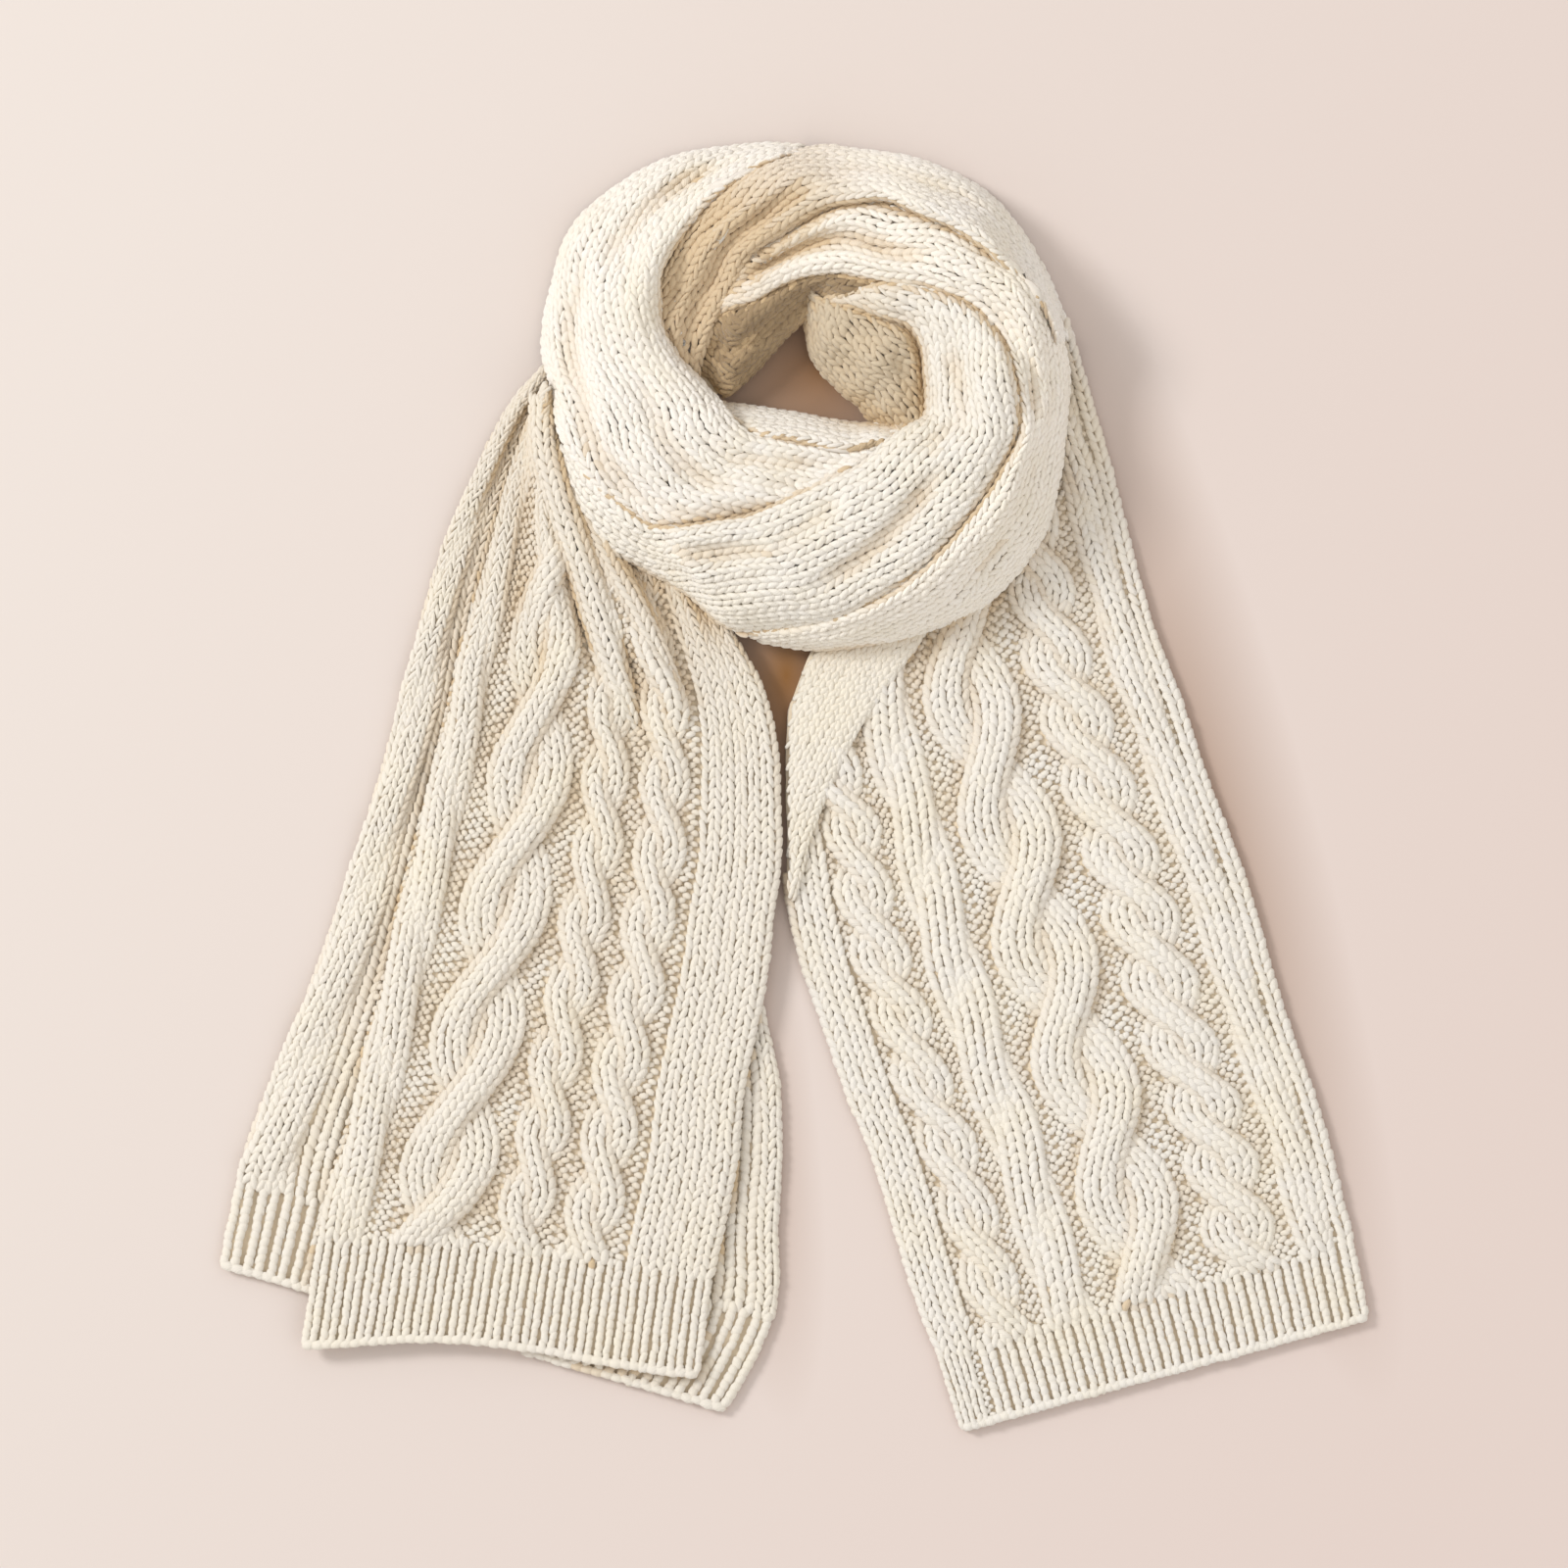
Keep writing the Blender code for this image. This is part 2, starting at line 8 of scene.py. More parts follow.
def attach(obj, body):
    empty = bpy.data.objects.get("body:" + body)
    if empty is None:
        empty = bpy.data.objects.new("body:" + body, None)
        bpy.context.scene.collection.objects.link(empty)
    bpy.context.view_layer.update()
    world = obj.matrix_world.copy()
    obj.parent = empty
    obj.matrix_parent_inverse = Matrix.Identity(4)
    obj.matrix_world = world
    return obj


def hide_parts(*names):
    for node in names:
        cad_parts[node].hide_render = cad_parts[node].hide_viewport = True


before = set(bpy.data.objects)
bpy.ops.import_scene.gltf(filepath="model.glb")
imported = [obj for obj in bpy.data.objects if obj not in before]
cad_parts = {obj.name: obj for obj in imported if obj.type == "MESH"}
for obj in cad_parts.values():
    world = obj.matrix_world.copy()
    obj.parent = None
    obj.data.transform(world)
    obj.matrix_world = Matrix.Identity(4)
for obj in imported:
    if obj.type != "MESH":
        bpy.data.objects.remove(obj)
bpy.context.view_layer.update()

# Table top, light and camera
# The scarf lies on a pale pink table with pools of painted shade in and beside the wool. One large soft light stands
# at its upper left, and a weak one fills from the right. The camera looks straight down from 5 m, so that the raised
# ring keeps its place.
MM = 0.001
TABLE_SIZE, TABLE_DROP = 6.0, 0.0005
MATT = 0.9  # roughness of the table and of the wool
TABLE_PINK = (0.705, 0.598, 0.552)
TABLE_LEFT = (0.725, 0.657, 0.612)
TABLE_RUN = ((0.38, -0.18), -0.4, (-0.86, 1))  # where it turns paler towards the left: start, turn, reach
TABLE_SHADE = (0.31, 0.168, 0.082)  # painted shade, warm like light that has come off the wool
# Pools of painted shade on the table, in the ring's hole, between the tails and beside their right edges: middle,
# reach, turn, strength
TABLE_SHADES = (
    ((0.014, 0.222), (0.125, 0.115), 0, 1),
    ((-0.004, 0.060), (0.080, 0.170), 0, 1.08),
    ((0.222, -0.010), (0.052, 0.330), 0.275, 0.62),
    ((-0.022, -0.170), (0.034, 0.170), 0.12, 0.45),
)
ROOM_COLOUR, ROOM_LIGHT = (1.0, 0.975, 0.95), 0.78
LAMPS = (("window", (-4.0, 2.0, 3.4), 1.4, 170.0), ("fill", (2.6, -1.8, 2.8), 3.0, 18.0))  # place, size, power
VIEW_WIDTH = 0.832
CAMERA_HEIGHT = 5.0
CAMERA_AIM = (-0.0052, 0.0023)


def link(name, data):
    """Put new data into the scene as an object."""
    thing = bpy.data.objects.new(name, data)
    bpy.context.scene.collection.objects.link(thing)
    return thing


def matt(name, colour):
    """A plain matt material and its shader."""
    material = bpy.data.materials.new(name)
    material.use_nodes = True
    shader = material.node_tree.nodes["Principled BSDF"]
    shader.inputs["Base Color"].default_value = (*colour, 1)
    shader.inputs["Roughness"].default_value = MATT
    shader.inputs["Specular IOR Level"].default_value = 0.2
    return material, shader


bm = bmesh.new()
bmesh.ops.create_grid(bm, x_segments=1, y_segments=1, size=TABLE_SIZE)
table_mesh = bpy.data.meshes.new("table_top")
bm.to_mesh(table_mesh)
table_paper, paper_shader = matt("table_paper", TABLE_PINK)
paper = table_paper.node_tree


def tinted(under, over, kind, middle, turned, reach):
    """A colour that runs into another along a gradient on the table."""
    where, centred, run, tint = (
        paper.nodes.new("ShaderNode" + name) for name in ("TexCoord", "Mapping", "TexGradient", "Mix")
    )
    centred.vector_type = "TEXTURE"
    centred.inputs["Location"].default_value = (*middle, 0)
    centred.inputs["Rotation"].default_value = (0, 0, turned)
    centred.inputs["Scale"].default_value = (*reach, 1)
    run.gradient_type = kind
    tint.data_type = "RGBA"
    tint.inputs["B"].default_value = (*over, 1)
    paper.links.new(under, tint.inputs["A"])
    paper.links.new(where.outputs["Object"], centred.inputs["Vector"])
    paper.links.new(centred.outputs["Vector"], run.inputs["Vector"])
    paper.links.new(run.outputs["Fac"], tint.inputs["Factor"])
    return tint.outputs["Result"]


pink = paper.nodes.new("ShaderNodeRGB").outputs[0]
pink.default_value = (*TABLE_PINK, 1)
colour = tinted(pink, TABLE_LEFT, "LINEAR", *TABLE_RUN)
for middle, reach, turned, strength in TABLE_SHADES:
    shade = [flat + (deep - flat) * strength for flat, deep in zip(TABLE_PINK, TABLE_SHADE)]
    colour = tinted(colour, shade, "SPHERICAL", middle, turned, reach)
paper.links.new(colour, paper_shader.inputs["Base Color"])
table_mesh.materials.append(table_paper)
table = link("table_top", table_mesh)
table.location.z = -TABLE_DROP

for name, place, size, power in LAMPS:
    lamp = bpy.data.lights.new(name, "AREA")
    lamp.size = size
    lamp.energy = power
    lamp_object = link(name, lamp)
    lamp_object.location = place
    lamp_object.rotation_euler = (-Vector(place)).to_track_quat("-Z", "Y").to_euler()

room = bpy.data.worlds.new("room")
room.use_nodes = True
backdrop = room.node_tree.nodes["Background"]
backdrop.inputs["Color"].default_value = (*ROOM_COLOUR, 1)
backdrop.inputs["Strength"].default_value = ROOM_LIGHT
bpy.context.scene.world = room

lens = bpy.data.cameras.new("camera")
lens.lens = lens.sensor_width * CAMERA_HEIGHT / VIEW_WIDTH
camera = link("camera", lens)
camera.location = (*CAMERA_AIM, CAMERA_HEIGHT)
bpy.context.scene.camera = camera
bpy.context.scene.view_settings.view_transform = "Standard"

# Right tail
# The end of the scarf that lies on the right, knitted in thick undyed wool: a broad cable and two narrower
# ones stand on purl ground between columns of plain knitting. It comes out from under the ring.
CHAIN = 4.2  # width of one chain of stitch legs; two chains make a column
COURSE = 5.6  # one leg to the next
CLOTH = 4.5  # thickness of the plain cloth
EDGE = 2.0  # and at its rolled sides
ROLLED = 0.02  # the part of the width over which a side thins
WALL = 2.5  # thickness of the lining
LINING_SUNK = 2.0  # it lies this far under the cloth's face
# It stops this much inside its sides, in mm, and inside the ends of the ring's stretches, in sections
LINING_SIDE, LINING_END = 1.5, 0.35
# A leg of yarn lies sunk in the cloth's face. Its height is a part of its width, its ends are a little
# plumper than its waist, and its upper end goes under the next
SUNK, FLAT, PLUMP_ENDS, BENT, TUCK = 1.2, 0.76, 0.10, 1.6, 0.12
LEG_LEAN = 0.30  # how far a leg leans, in radians
COVERED = 2.0  # a stitch this far under a strand is hidden
LOWEST = 1.7  # height of the lowest yarn's middle above the table
STEEP_LIFT = 2.2  # and how much more where the cloth stands on its edge
# How unlike each other the stitches are: along, in legs, sideways and up, in mm, in lean, in width and in length
UNEVEN_ALONG, UNEVEN_SIDE, UNEVEN_UP, UNEVEN_LEAN = 0.3, 0.18, 0.15, 0.09
WIDTHS, LENGTHS, WIDTH_LIMITS = (0.9, 1.1), (0.92, 1.1), (0.5, 1.3)
# Each stitch gets painted shade from what stands beside it at these distances, and the higher side counts more. The
# last number is the painted shade for each mm
BESIDE, MORE_BESIDE, LESS_BESIDE, OVERLOOKED = (5.0, 9.0), 0.6, 0.4, 0.055
# It gets painted shade too from what closes it in: how many rays, their start in mm, their reach in m, and the turn
# from one to the next
HOLLOW_RAYS, HOLLOW_START, HOLLOW_REACH, HOLLOW_TURN = 14, 2.8, 0.045, 2.4
YARN_LIGHT = (0.87, 0.83, 0.775)
YARN_WARM = (0.83, 0.76, 0.62)
# painted shade down between the strands of each stitch
YARN_SHADE_BETWEEN = (0.52, 0.37, 0.21)
YARN_HOLLOW = (0.63, 0.465, 0.27)  # painted shade deep in the folds, warm like light that has come off the wool
# painted shade: a darker, warmer copy of the yarn for the cloth under the stitches, seen only in the gaps between
# them, and for the ring's hidden layers
YARN_LINING = (0.80, 0.68, 0.51)
# the right tail's copy of the same yarn, darker for the light that falls there: painted shade
RIGHT_YARN = (0.80, 0.762, 0.705)
# How these mix: the values between which a change comes in, and its strength
PATCHES, PATCH_MIX = (0.48, 0.70), 0.6
STITCH_MIX, FIBRE_MIX = 0.28, 0.15
# painted shade in the folds, from how closed in each stitch is
FOLDED, FOLD_MIX = (0.06, 0.50), 0.86
# painted shade on the low side of each strand, down between the strands
BETWEEN, BETWEEN_MIX = (0.08, -0.30), 0.7
# Columns of a table of stitches
MIDDLE, AHEAD, WIDE = slice(0, 3), slice(3, 6), slice(6, 9)
ACROSS, PLACE, LENGTH, DEEP, PURL, LEAN = range(9, 15)
STITCH_COLUMNS = 15
# left x, left y, right x, right y, from the ring to the cast-off edge
RIGHT_EDGES = (
    (-39, 190, 145, 249),
    (-36, 158, 157, 210),
    (-31, 117, 169, 169),
    (-24, 78, 181, 122),
    (-22, 40, 192, 83),
    (-18, 2, 206, 47),
    (-8, -30, 219, 8),
    (-4, -60, 232, -26),
    (4, -94, 243, -57),
    (16, -128, 254, -96),
    (27, -161, 264, -128),
    (41, -195, 275, -158),
    (53, -234, 284, -187),
    (65, -273, 292, -220),
    (76, -302, 298, -241),
    (88, -340, 306, -280),
)
HEM_ROW = 14  # the hem starts at this row
TAIL_LAP = 0.02  # and the tail goes on this far past it
RIGHT_START = 0.1
TAIL_GRID = (70, 120)  # columns and rows of a tail's lining
SLOPE_STEP = 0.01  # how far along the cloth its slope is measured
BAND_END, BAND_FADE = 0.35, 24.0  # the bands flatten to this part of their rise over this length above the hem
FLAT_TOP = (25.0, 120.0)  # they may be flattened between these distances from the ring too
FOLD_FADE = 0.7  # how a fold sinks on its way down from the ring
BOW_ROWS, BOW_SKEW = 3, 0.8  # a bowed hem arches up over these last rows, a little more at its left
PLACES_PER_ROW = 12
ROLL_REACH, STRAND_REACH = 0.9, 0.96  # the outer stitches lie at these parts of a band's half-width
# Bands across the tail, as parts of its width. A rope or a twist is two strands that cross every "pitch", the
# first time "first" above the hem; the strand in front leans to the right (1) or the left (-1) on its way up.
# from, to, kind, chains across (in a strand), rise, pitch, first, lean
RIGHT_BANDS = (
    (0.000, 0.100, "roll", 6, 1.8, 0, 0, 0),
    (0.106, 0.240, "twist", 4, 4.4, 35, 12, -1),
    (0.256, 0.390, "pair", 5, 3.4, 66, 16, 1),
    (0.410, 0.640, "rope", 6, 6.2, 69, 21, 1),
    (0.664, 0.838, "twist", 5, 5.0, 35.5, 9, -1),
    (0.862, 0.962, "pair", 4, 3.2, 75, 0, -1),
    (0.962, 1.000, "roll", 2, 1.4, 0, 0, 0),
)
# Half-width of a strand, and how far it swings to each side, as parts of the half-width of the whole
STRANDS = {"rope": (0.50, 0.50), "twist": (0.57, 0.43), "pair": (0.78, 0.22)}
ROPE_MIDDLE = 0.74  # height of a strand between crossings, as a part of the rise
ROPE_FRONT = 0.46  # how much higher the front strand is at a crossing, and how much lower the back one
# Where the tail comes out of the ring: part of the width, place along the edges
RIGHT_TOP = (
    (0, 2.85), (0.2, 2.87), (0.35, 2.93), (0.5, 2.87), (0.61, 2.73), (0.71, 2.25), (0.79, 1.63), (0.85, 0.85),
    (1, 0.15),
)
RIGHT_LIFT = 16.0  # how far its upper corner climbs towards the top wrap
LIFT_END = 1.2
TOP_TUCK, TURN_COVER = 0.3, 0.05  # stitches reach this far under the ring and under the turned edge
# The left edge is turned over onto the tail: place, fold, free edge
TURN = (
    (3.00, 0.190, 0.500), (3.45, 0.140, 0.440), (4.00, 0.094, 0.340),
    (4.50, 0.075, 0.256), (5.00, 0.062, 0.190), (5.50, 0.040, 0.130),
    (6.00, 0.020, 0.075), (6.60, 0.005, 0.045), (7.00, 0.000, 0.022),
)


def on_curve(table, places):
    """A table's rows at these places, on a smooth curve through all of its rows."""
    rows = np.array(table, float)
    last = len(rows) - 1
    index = np.clip(np.floor(places).astype(int), 0, last - 1)
    f = (places - index)[..., None]
    a, b, c, d = (rows[np.clip(index + step, 0, last)] for step in (-1, 0, 1, 2))
    return 0.5 * (2 * b + (c - a) * f + (2 * a - 5 * b + 4 * c - d) * f**2 + (3 * b - a - 3 * c + d) * f**3)


def column(table, places, number):
    """One column of a table whose first column is the place."""
    rows = np.array(table, float)
    return np.interp(places, rows[:, 0], rows[:, number])


def tail_cloth(
    edges, bottom, first, last, thick=CLOTH, folds=(), lift=0.0, fades=True, flat_top=1.0, bow=0.0, course=COURSE
):
    """A stretch of a tail as cloth. Its ground gives points in mm for parts of the width and places along it."""
    bow_start = len(edges) - 1 - BOW_ROWS

    def ground(parts, places):
        left_x, left_y, right_x, right_y = np.moveaxis(on_curve(edges, places), -1, 0)
        x = left_x + (right_x - left_x) * parts
        y = left_y + (right_y - left_y) * parts
        arch = np.sin(np.pi * np.clip(parts, 0, 1) ** BOW_SKEW) ** 2
        y = y + bow * arch * np.clip((places - bow_start) / BOW_ROWS, 0, 1) ** 2
        side = np.clip(np.minimum(parts, 1 - parts) / ROLLED, 0, 1)
        z = bottom + EDGE + (thick - EDGE) * np.sqrt(side * (2 - side))
        z = z + lift * np.clip(1 - places / LIFT_END, 0, None) ** 2
        for top, end, low, rise, half_width in folds:
            f = np.clip(places / end, 0, 1)
            z = z + rise * (1 - f) ** FOLD_FADE * np.exp(-(((parts - top - (low - top) * f) / half_width) ** 2))
        return np.stack(np.broadcast_arrays(x, y, z), -1)

    every = np.linspace(0, len(edges) - 1, 400)
    row = on_curve(edges, every)
    steps = np.hypot(*np.diff((row[:, :2] + row[:, 2:]) / 2, axis=0).T)
    length = np.append(0, np.cumsum(steps))
    hem = np.interp(len(edges) - 2, every, length)

    def rise(along):
        below = np.clip(BAND_END + along / BAND_FADE, BAND_END, 1)
        return below * np.interp(hem - along, FLAT_TOP, (flat_top, 1))

    return {
        "ground": ground,
        "places": np.linspace(first, last, int((last - first) * PLACES_PER_ROW) + 2),
        "along": lambda at: hem - np.interp(at, every, length),
        "width": float(np.hypot(row[:, 2] - row[:, 0], row[:, 3] - row[:, 1]).mean()),
        "across": 1.0,
        "ends": np.ones_like,
        "rise": rise if fades else np.ones_like,
        "facing": 1,
        "nudge": 0.002,
        "yarn": (CHAIN, course),
    }


def relief(cloth, bands, across, places):
    """How far the bands stand above the ground."""
    along = cloth["along"](places)
    height = np.zeros(np.broadcast(across, along).shape)
    for start, end, kind, _, rise, pitch, first, lean in bands:
        side = 2 * (across - start) / (end - start) - 1
        if kind in STRANDS:
            half, swing = STRANDS[kind]
            turn = np.pi * (along - first) / pitch
            for strand in (1, -1):
                offset = (side - strand * swing * np.sin(turn)) / half
                part = ROPE_MIDDLE + strand * ROPE_FRONT * lean * np.cos(turn)
                height = np.maximum(height, rise * part * np.sqrt(np.clip(1 - offset**2, 0, None)))
        else:
            height = np.maximum(height, rise * np.sqrt(np.clip(1 - side**4, 0, None)))
    return height * cloth["rise"](along)


def raised(cloth, across, heights):
    """Points of the cloth, raised off its ground by these heights."""
    ground, places, nudge = cloth["ground"], cloth["places"], cloth["nudge"]
    side = ground(across + nudge, places) - ground(across - nudge, places)
    ahead = ground(across, places + SLOPE_STEP) - ground(across, places - SLOPE_STEP)
    normal = np.cross(ahead, side) * cloth["facing"]
    normal /= np.linalg.norm(normal, axis=-1, keepdims=True) + 1e-9
    return ground(across, places) + normal * np.asarray(heights)[..., None]


def overlooked(cloth, bands, across, heights):
    """How far the cloth at both sides stands over each place, in mm: most where both of them do."""
    own = raised(cloth, across, heights)
    up = raised(cloth, across, heights + 1) - own
    most = np.zeros(own.shape[:2])
    for beside in BESIDE:
        sides = []
        for step in (-beside, beside):
            at = across + step * cloth["across"] / cloth["width"]
            near = raised(cloth, at, relief(cloth, bands, at, cloth["places"]))
            sides.append(((near - own) * up).sum(-1))
        most = np.maximum(most, MORE_BESIDE * np.maximum(*sides) + LESS_BESIDE * np.minimum(*sides))
    return most


def columns_of_stitches(cloth, across, heights, purl, bands):
    """Chains of stitch legs between neighbouring lines along the cloth. Each leg is a row of numbers: its middle,
    the way ahead, the way across, its place across and along, its length, how far it is overlooked, whether it
    is a purl bump, and its lean, which changes from chain to chain."""
    shape = (len(across), len(cloth["places"]))
    across = np.broadcast_to(across, shape)
    heights = np.broadcast_to(heights, shape)
    lines = raised(cloth, across, heights - SUNK)
    deep = overlooked(cloth, bands, across, heights)
    found = []
    for index in range(len(lines) - 1):
        left, right = lines[index], lines[index + 1]
        middle = (left + right) / 2
        length = np.append(0, np.cumsum(np.linalg.norm(np.diff(middle, axis=0), axis=1) + 1e-6))
        count = max(1, round(length[-1] / cloth["yarn"][1]))
        at = (np.arange(count) + 0.5 + chance.uniform(-UNEVEN_ALONG, UNEVEN_ALONG)) * length[-1] / count
        where = (across[index] + across[index + 1]) / 2
        own = (heights[index] + heights[index + 1]) / 2
        ahead = np.gradient(middle, length, axis=0)
        sunken = (deep[index] + deep[index + 1]) / 2
        wide = (right - left) * cloth["facing"]
        values = np.column_stack((middle, ahead, wide, where, cloth["places"], own, sunken))
        rows = np.column_stack([np.interp(at, length, line) for line in values.T])
        hidden = relief(cloth, bands, rows[:, ACROSS], rows[:, PLACE]) > rows[:, LENGTH] + COVERED
        rows[:, LENGTH] = length[-1] / count  # in place of the height above the ground
        lean = 1.0 if index % 2 else -1.0
        found.append(np.column_stack((rows, np.full(count, float(purl)), np.full(count, lean)))[~hidden])
    return np.concatenate(found)


def stitches_of_band(cloth, band, bands):
    """The stitches of one band: side by side across a roll, or along both strands of a rope."""
    start, end, kind, count, rise, pitch, first, lean = band
    rise = rise * cloth["rise"](cloth["along"](cloth["places"]))
    if kind not in STRANDS:
        side = np.linspace(-1, 1, count + 1)[:, None]
        heights = rise * np.sqrt(1 - (ROLL_REACH * side) ** 4)
        return columns_of_stitches(cloth, start + (end - start) * (side + 1) / 2, heights, False, bands)
    half, swing = STRANDS[kind]
    turn = np.pi * (cloth["along"](cloth["places"]) - first) / pitch
    found = []
    for strand in (1, -1):
        offset = np.linspace(-STRAND_REACH, STRAND_REACH, count + 1)[:, None]
        side = strand * swing * np.sin(turn) + offset * half
        part = ROPE_MIDDLE + strand * ROPE_FRONT * lean * np.cos(turn)
        heights = rise * part * np.sqrt(1 - offset**2)
        found.append(columns_of_stitches(cloth, start + (end - start) * (side + 1) / 2, heights, False, bands))
    return np.concatenate(found)


def stitches_of_ground(cloth, bands, purl=True):
    """The stitches of the plain ground, between the bands and beside the strands of the ropes."""
    spans = []
    place = 0.0
    for start, end, kind, *_ in bands:
        spans += [(place, start)] + [(start, end)] * (kind in STRANDS)
        place = end
    spans.append((place, cloth["across"]))
    found = []
    for start, end in spans:
        wide = (end - start) / cloth["across"] * cloth["width"]
        if wide > CHAIN / 2:
            lines = np.linspace(start, end, max(1, round(wide / cloth["yarn"][0])) + 1)[:, None]
            found.append(columns_of_stitches(cloth, lines, 0 * lines, purl, bands))
    return np.concatenate(found or [np.empty((0, STITCH_COLUMNS))])


def tail_stitches(cloth, bands):
    """The stitches of a tail's cables, and those of its rolls and its ground."""
    crossed = [band for band in bands if band[2] in STRANDS]
    rolled = [band for band in bands if band[2] not in STRANDS]
    cables = [stitches_of_band(cloth, band, bands) for band in crossed]
    columns = [stitches_of_band(cloth, band, bands) for band in rolled] + [stitches_of_ground(cloth, bands)]
    return np.concatenate(cables), np.concatenate(columns)


def stitch_shape(name, strands):
    """One stitch as a mesh of plump strands of yarn. Each strand is its middle, half-length, sideways lean,
    bend up and half-thickness, in stitches. Its points keep their place in the stitch for the material."""
    bm = bmesh.new()
    for x, y, along, half, lean, bend, thick in strands:
        made = bmesh.ops.create_uvsphere(bm, u_segments=6, v_segments=4, radius=1)["verts"]
        for vert in made:
            run = vert.co.z
            full = thick * (1 + PLUMP_ENDS * abs(run))
            sx, sz = vert.co.x * full, vert.co.y * full * FLAT
            bow = bend * (1 - BENT * run * run) - TUCK * run
            if along == "y":
                vert.co = (x + lean * run + sx, y + half * run, bow + sz)
            else:
                vert.co = (x + half * run, y + lean * run + sx * CHAIN / COURSE, bow + sz)
    bmesh.ops.recalc_face_normals(bm, faces=bm.faces)
    mesh = bpy.data.meshes.new(name)
    bm.to_mesh(mesh)
    mesh.shade_smooth()
    place = mesh.attributes.new("in_stitch", "FLOAT_VECTOR", "POINT")
    place.data.foreach_set("vector", np.array([vert.co for vert in mesh.vertices]).ravel())
    shape = link(name, mesh)
    shape.hide_render = True
    return shape


def stitcher():
    """Geometry nodes that put a stitch on each point and turn them all into one mesh."""
    tree = bpy.data.node_groups.new("stitcher", "GeometryNodeTree")
    tree.interface.new_socket("Points", in_out="INPUT", socket_type="NodeSocketGeometry")
    tree.interface.new_socket("Cloth", in_out="OUTPUT", socket_type="NodeSocketGeometry")
    add, join = tree.nodes.new, tree.links.new
    points, cloth = add("NodeGroupInput"), add("NodeGroupOutput")
    both, real = add("GeometryNodeJoinGeometry"), add("GeometryNodeRealizeInstances")
    values = {}
    for name, kind in (("turn", "FLOAT_VECTOR"), ("size", "FLOAT_VECTOR"), ("purl", "BOOLEAN")):
        values[name] = add("GeometryNodeInputNamedAttribute")
        values[name].data_type = kind
        values[name].inputs["Name"].default_value = name
    turn, knit = add("FunctionNodeEulerToRotation"), add("FunctionNodeBooleanMath")
    knit.operation = "NOT"
    join(values["turn"].outputs["Attribute"], turn.inputs[0])
    join(values["purl"].outputs["Attribute"], knit.inputs[0])
    for shape, chosen in ((knit_stitch, knit.outputs[0]), (purl_stitch, values["purl"].outputs["Attribute"])):
        look, put = add("GeometryNodeObjectInfo"), add("GeometryNodeInstanceOnPoints")
        look.inputs["Object"].default_value = shape
        look.inputs["As Instance"].default_value = True
        join(points.outputs[0], put.inputs["Points"])
        join(look.outputs["Geometry"], put.inputs["Instance"])
        join(chosen, put.inputs["Selection"])
        join(turn.outputs[0], put.inputs["Rotation"])
        join(values["size"].outputs["Attribute"], put.inputs["Scale"])
        join(put.outputs[0], both.inputs[0])
    join(both.outputs[0], real.inputs[0])
    join(real.outputs[0], cloth.inputs[0])
    return tree


def closed_in(middle, ahead, right, up, lining_piece):
    """How far the cloth around closes in over each stitch, from 0 in the open towards 1 deep in a fold."""
    bpy.context.view_layer.update()
    near = BVHTree.FromObject(lining_piece, bpy.context.evaluated_depsgraph_get())
    found = np.zeros(len(middle))
    start = [Vector(place) for place in ((middle + up * HOLLOW_START) * MM).tolist()]
    for number in range(HOLLOW_RAYS):
        wide = np.sqrt((number + 0.5) / HOLLOW_RAYS)
        turn = HOLLOW_TURN * number
        way = (right * np.cos(turn) + ahead * np.sin(turn)) * wide + up * np.sqrt(1 - wide**2)
        hits = np.zeros(len(middle))
        for index, direction in enumerate(way.tolist()):
            for tree in (near, whole_scarf):
                _, face_way, _, far = tree.ray_cast(start[index], direction, HOLLOW_REACH)
                if far is not None and face_way.dot(direction) < 0:
                    hits[index] = max(hits[index], 1 - far / HOLLOW_REACH)
        found += hits
    return found / HOLLOW_RAYS


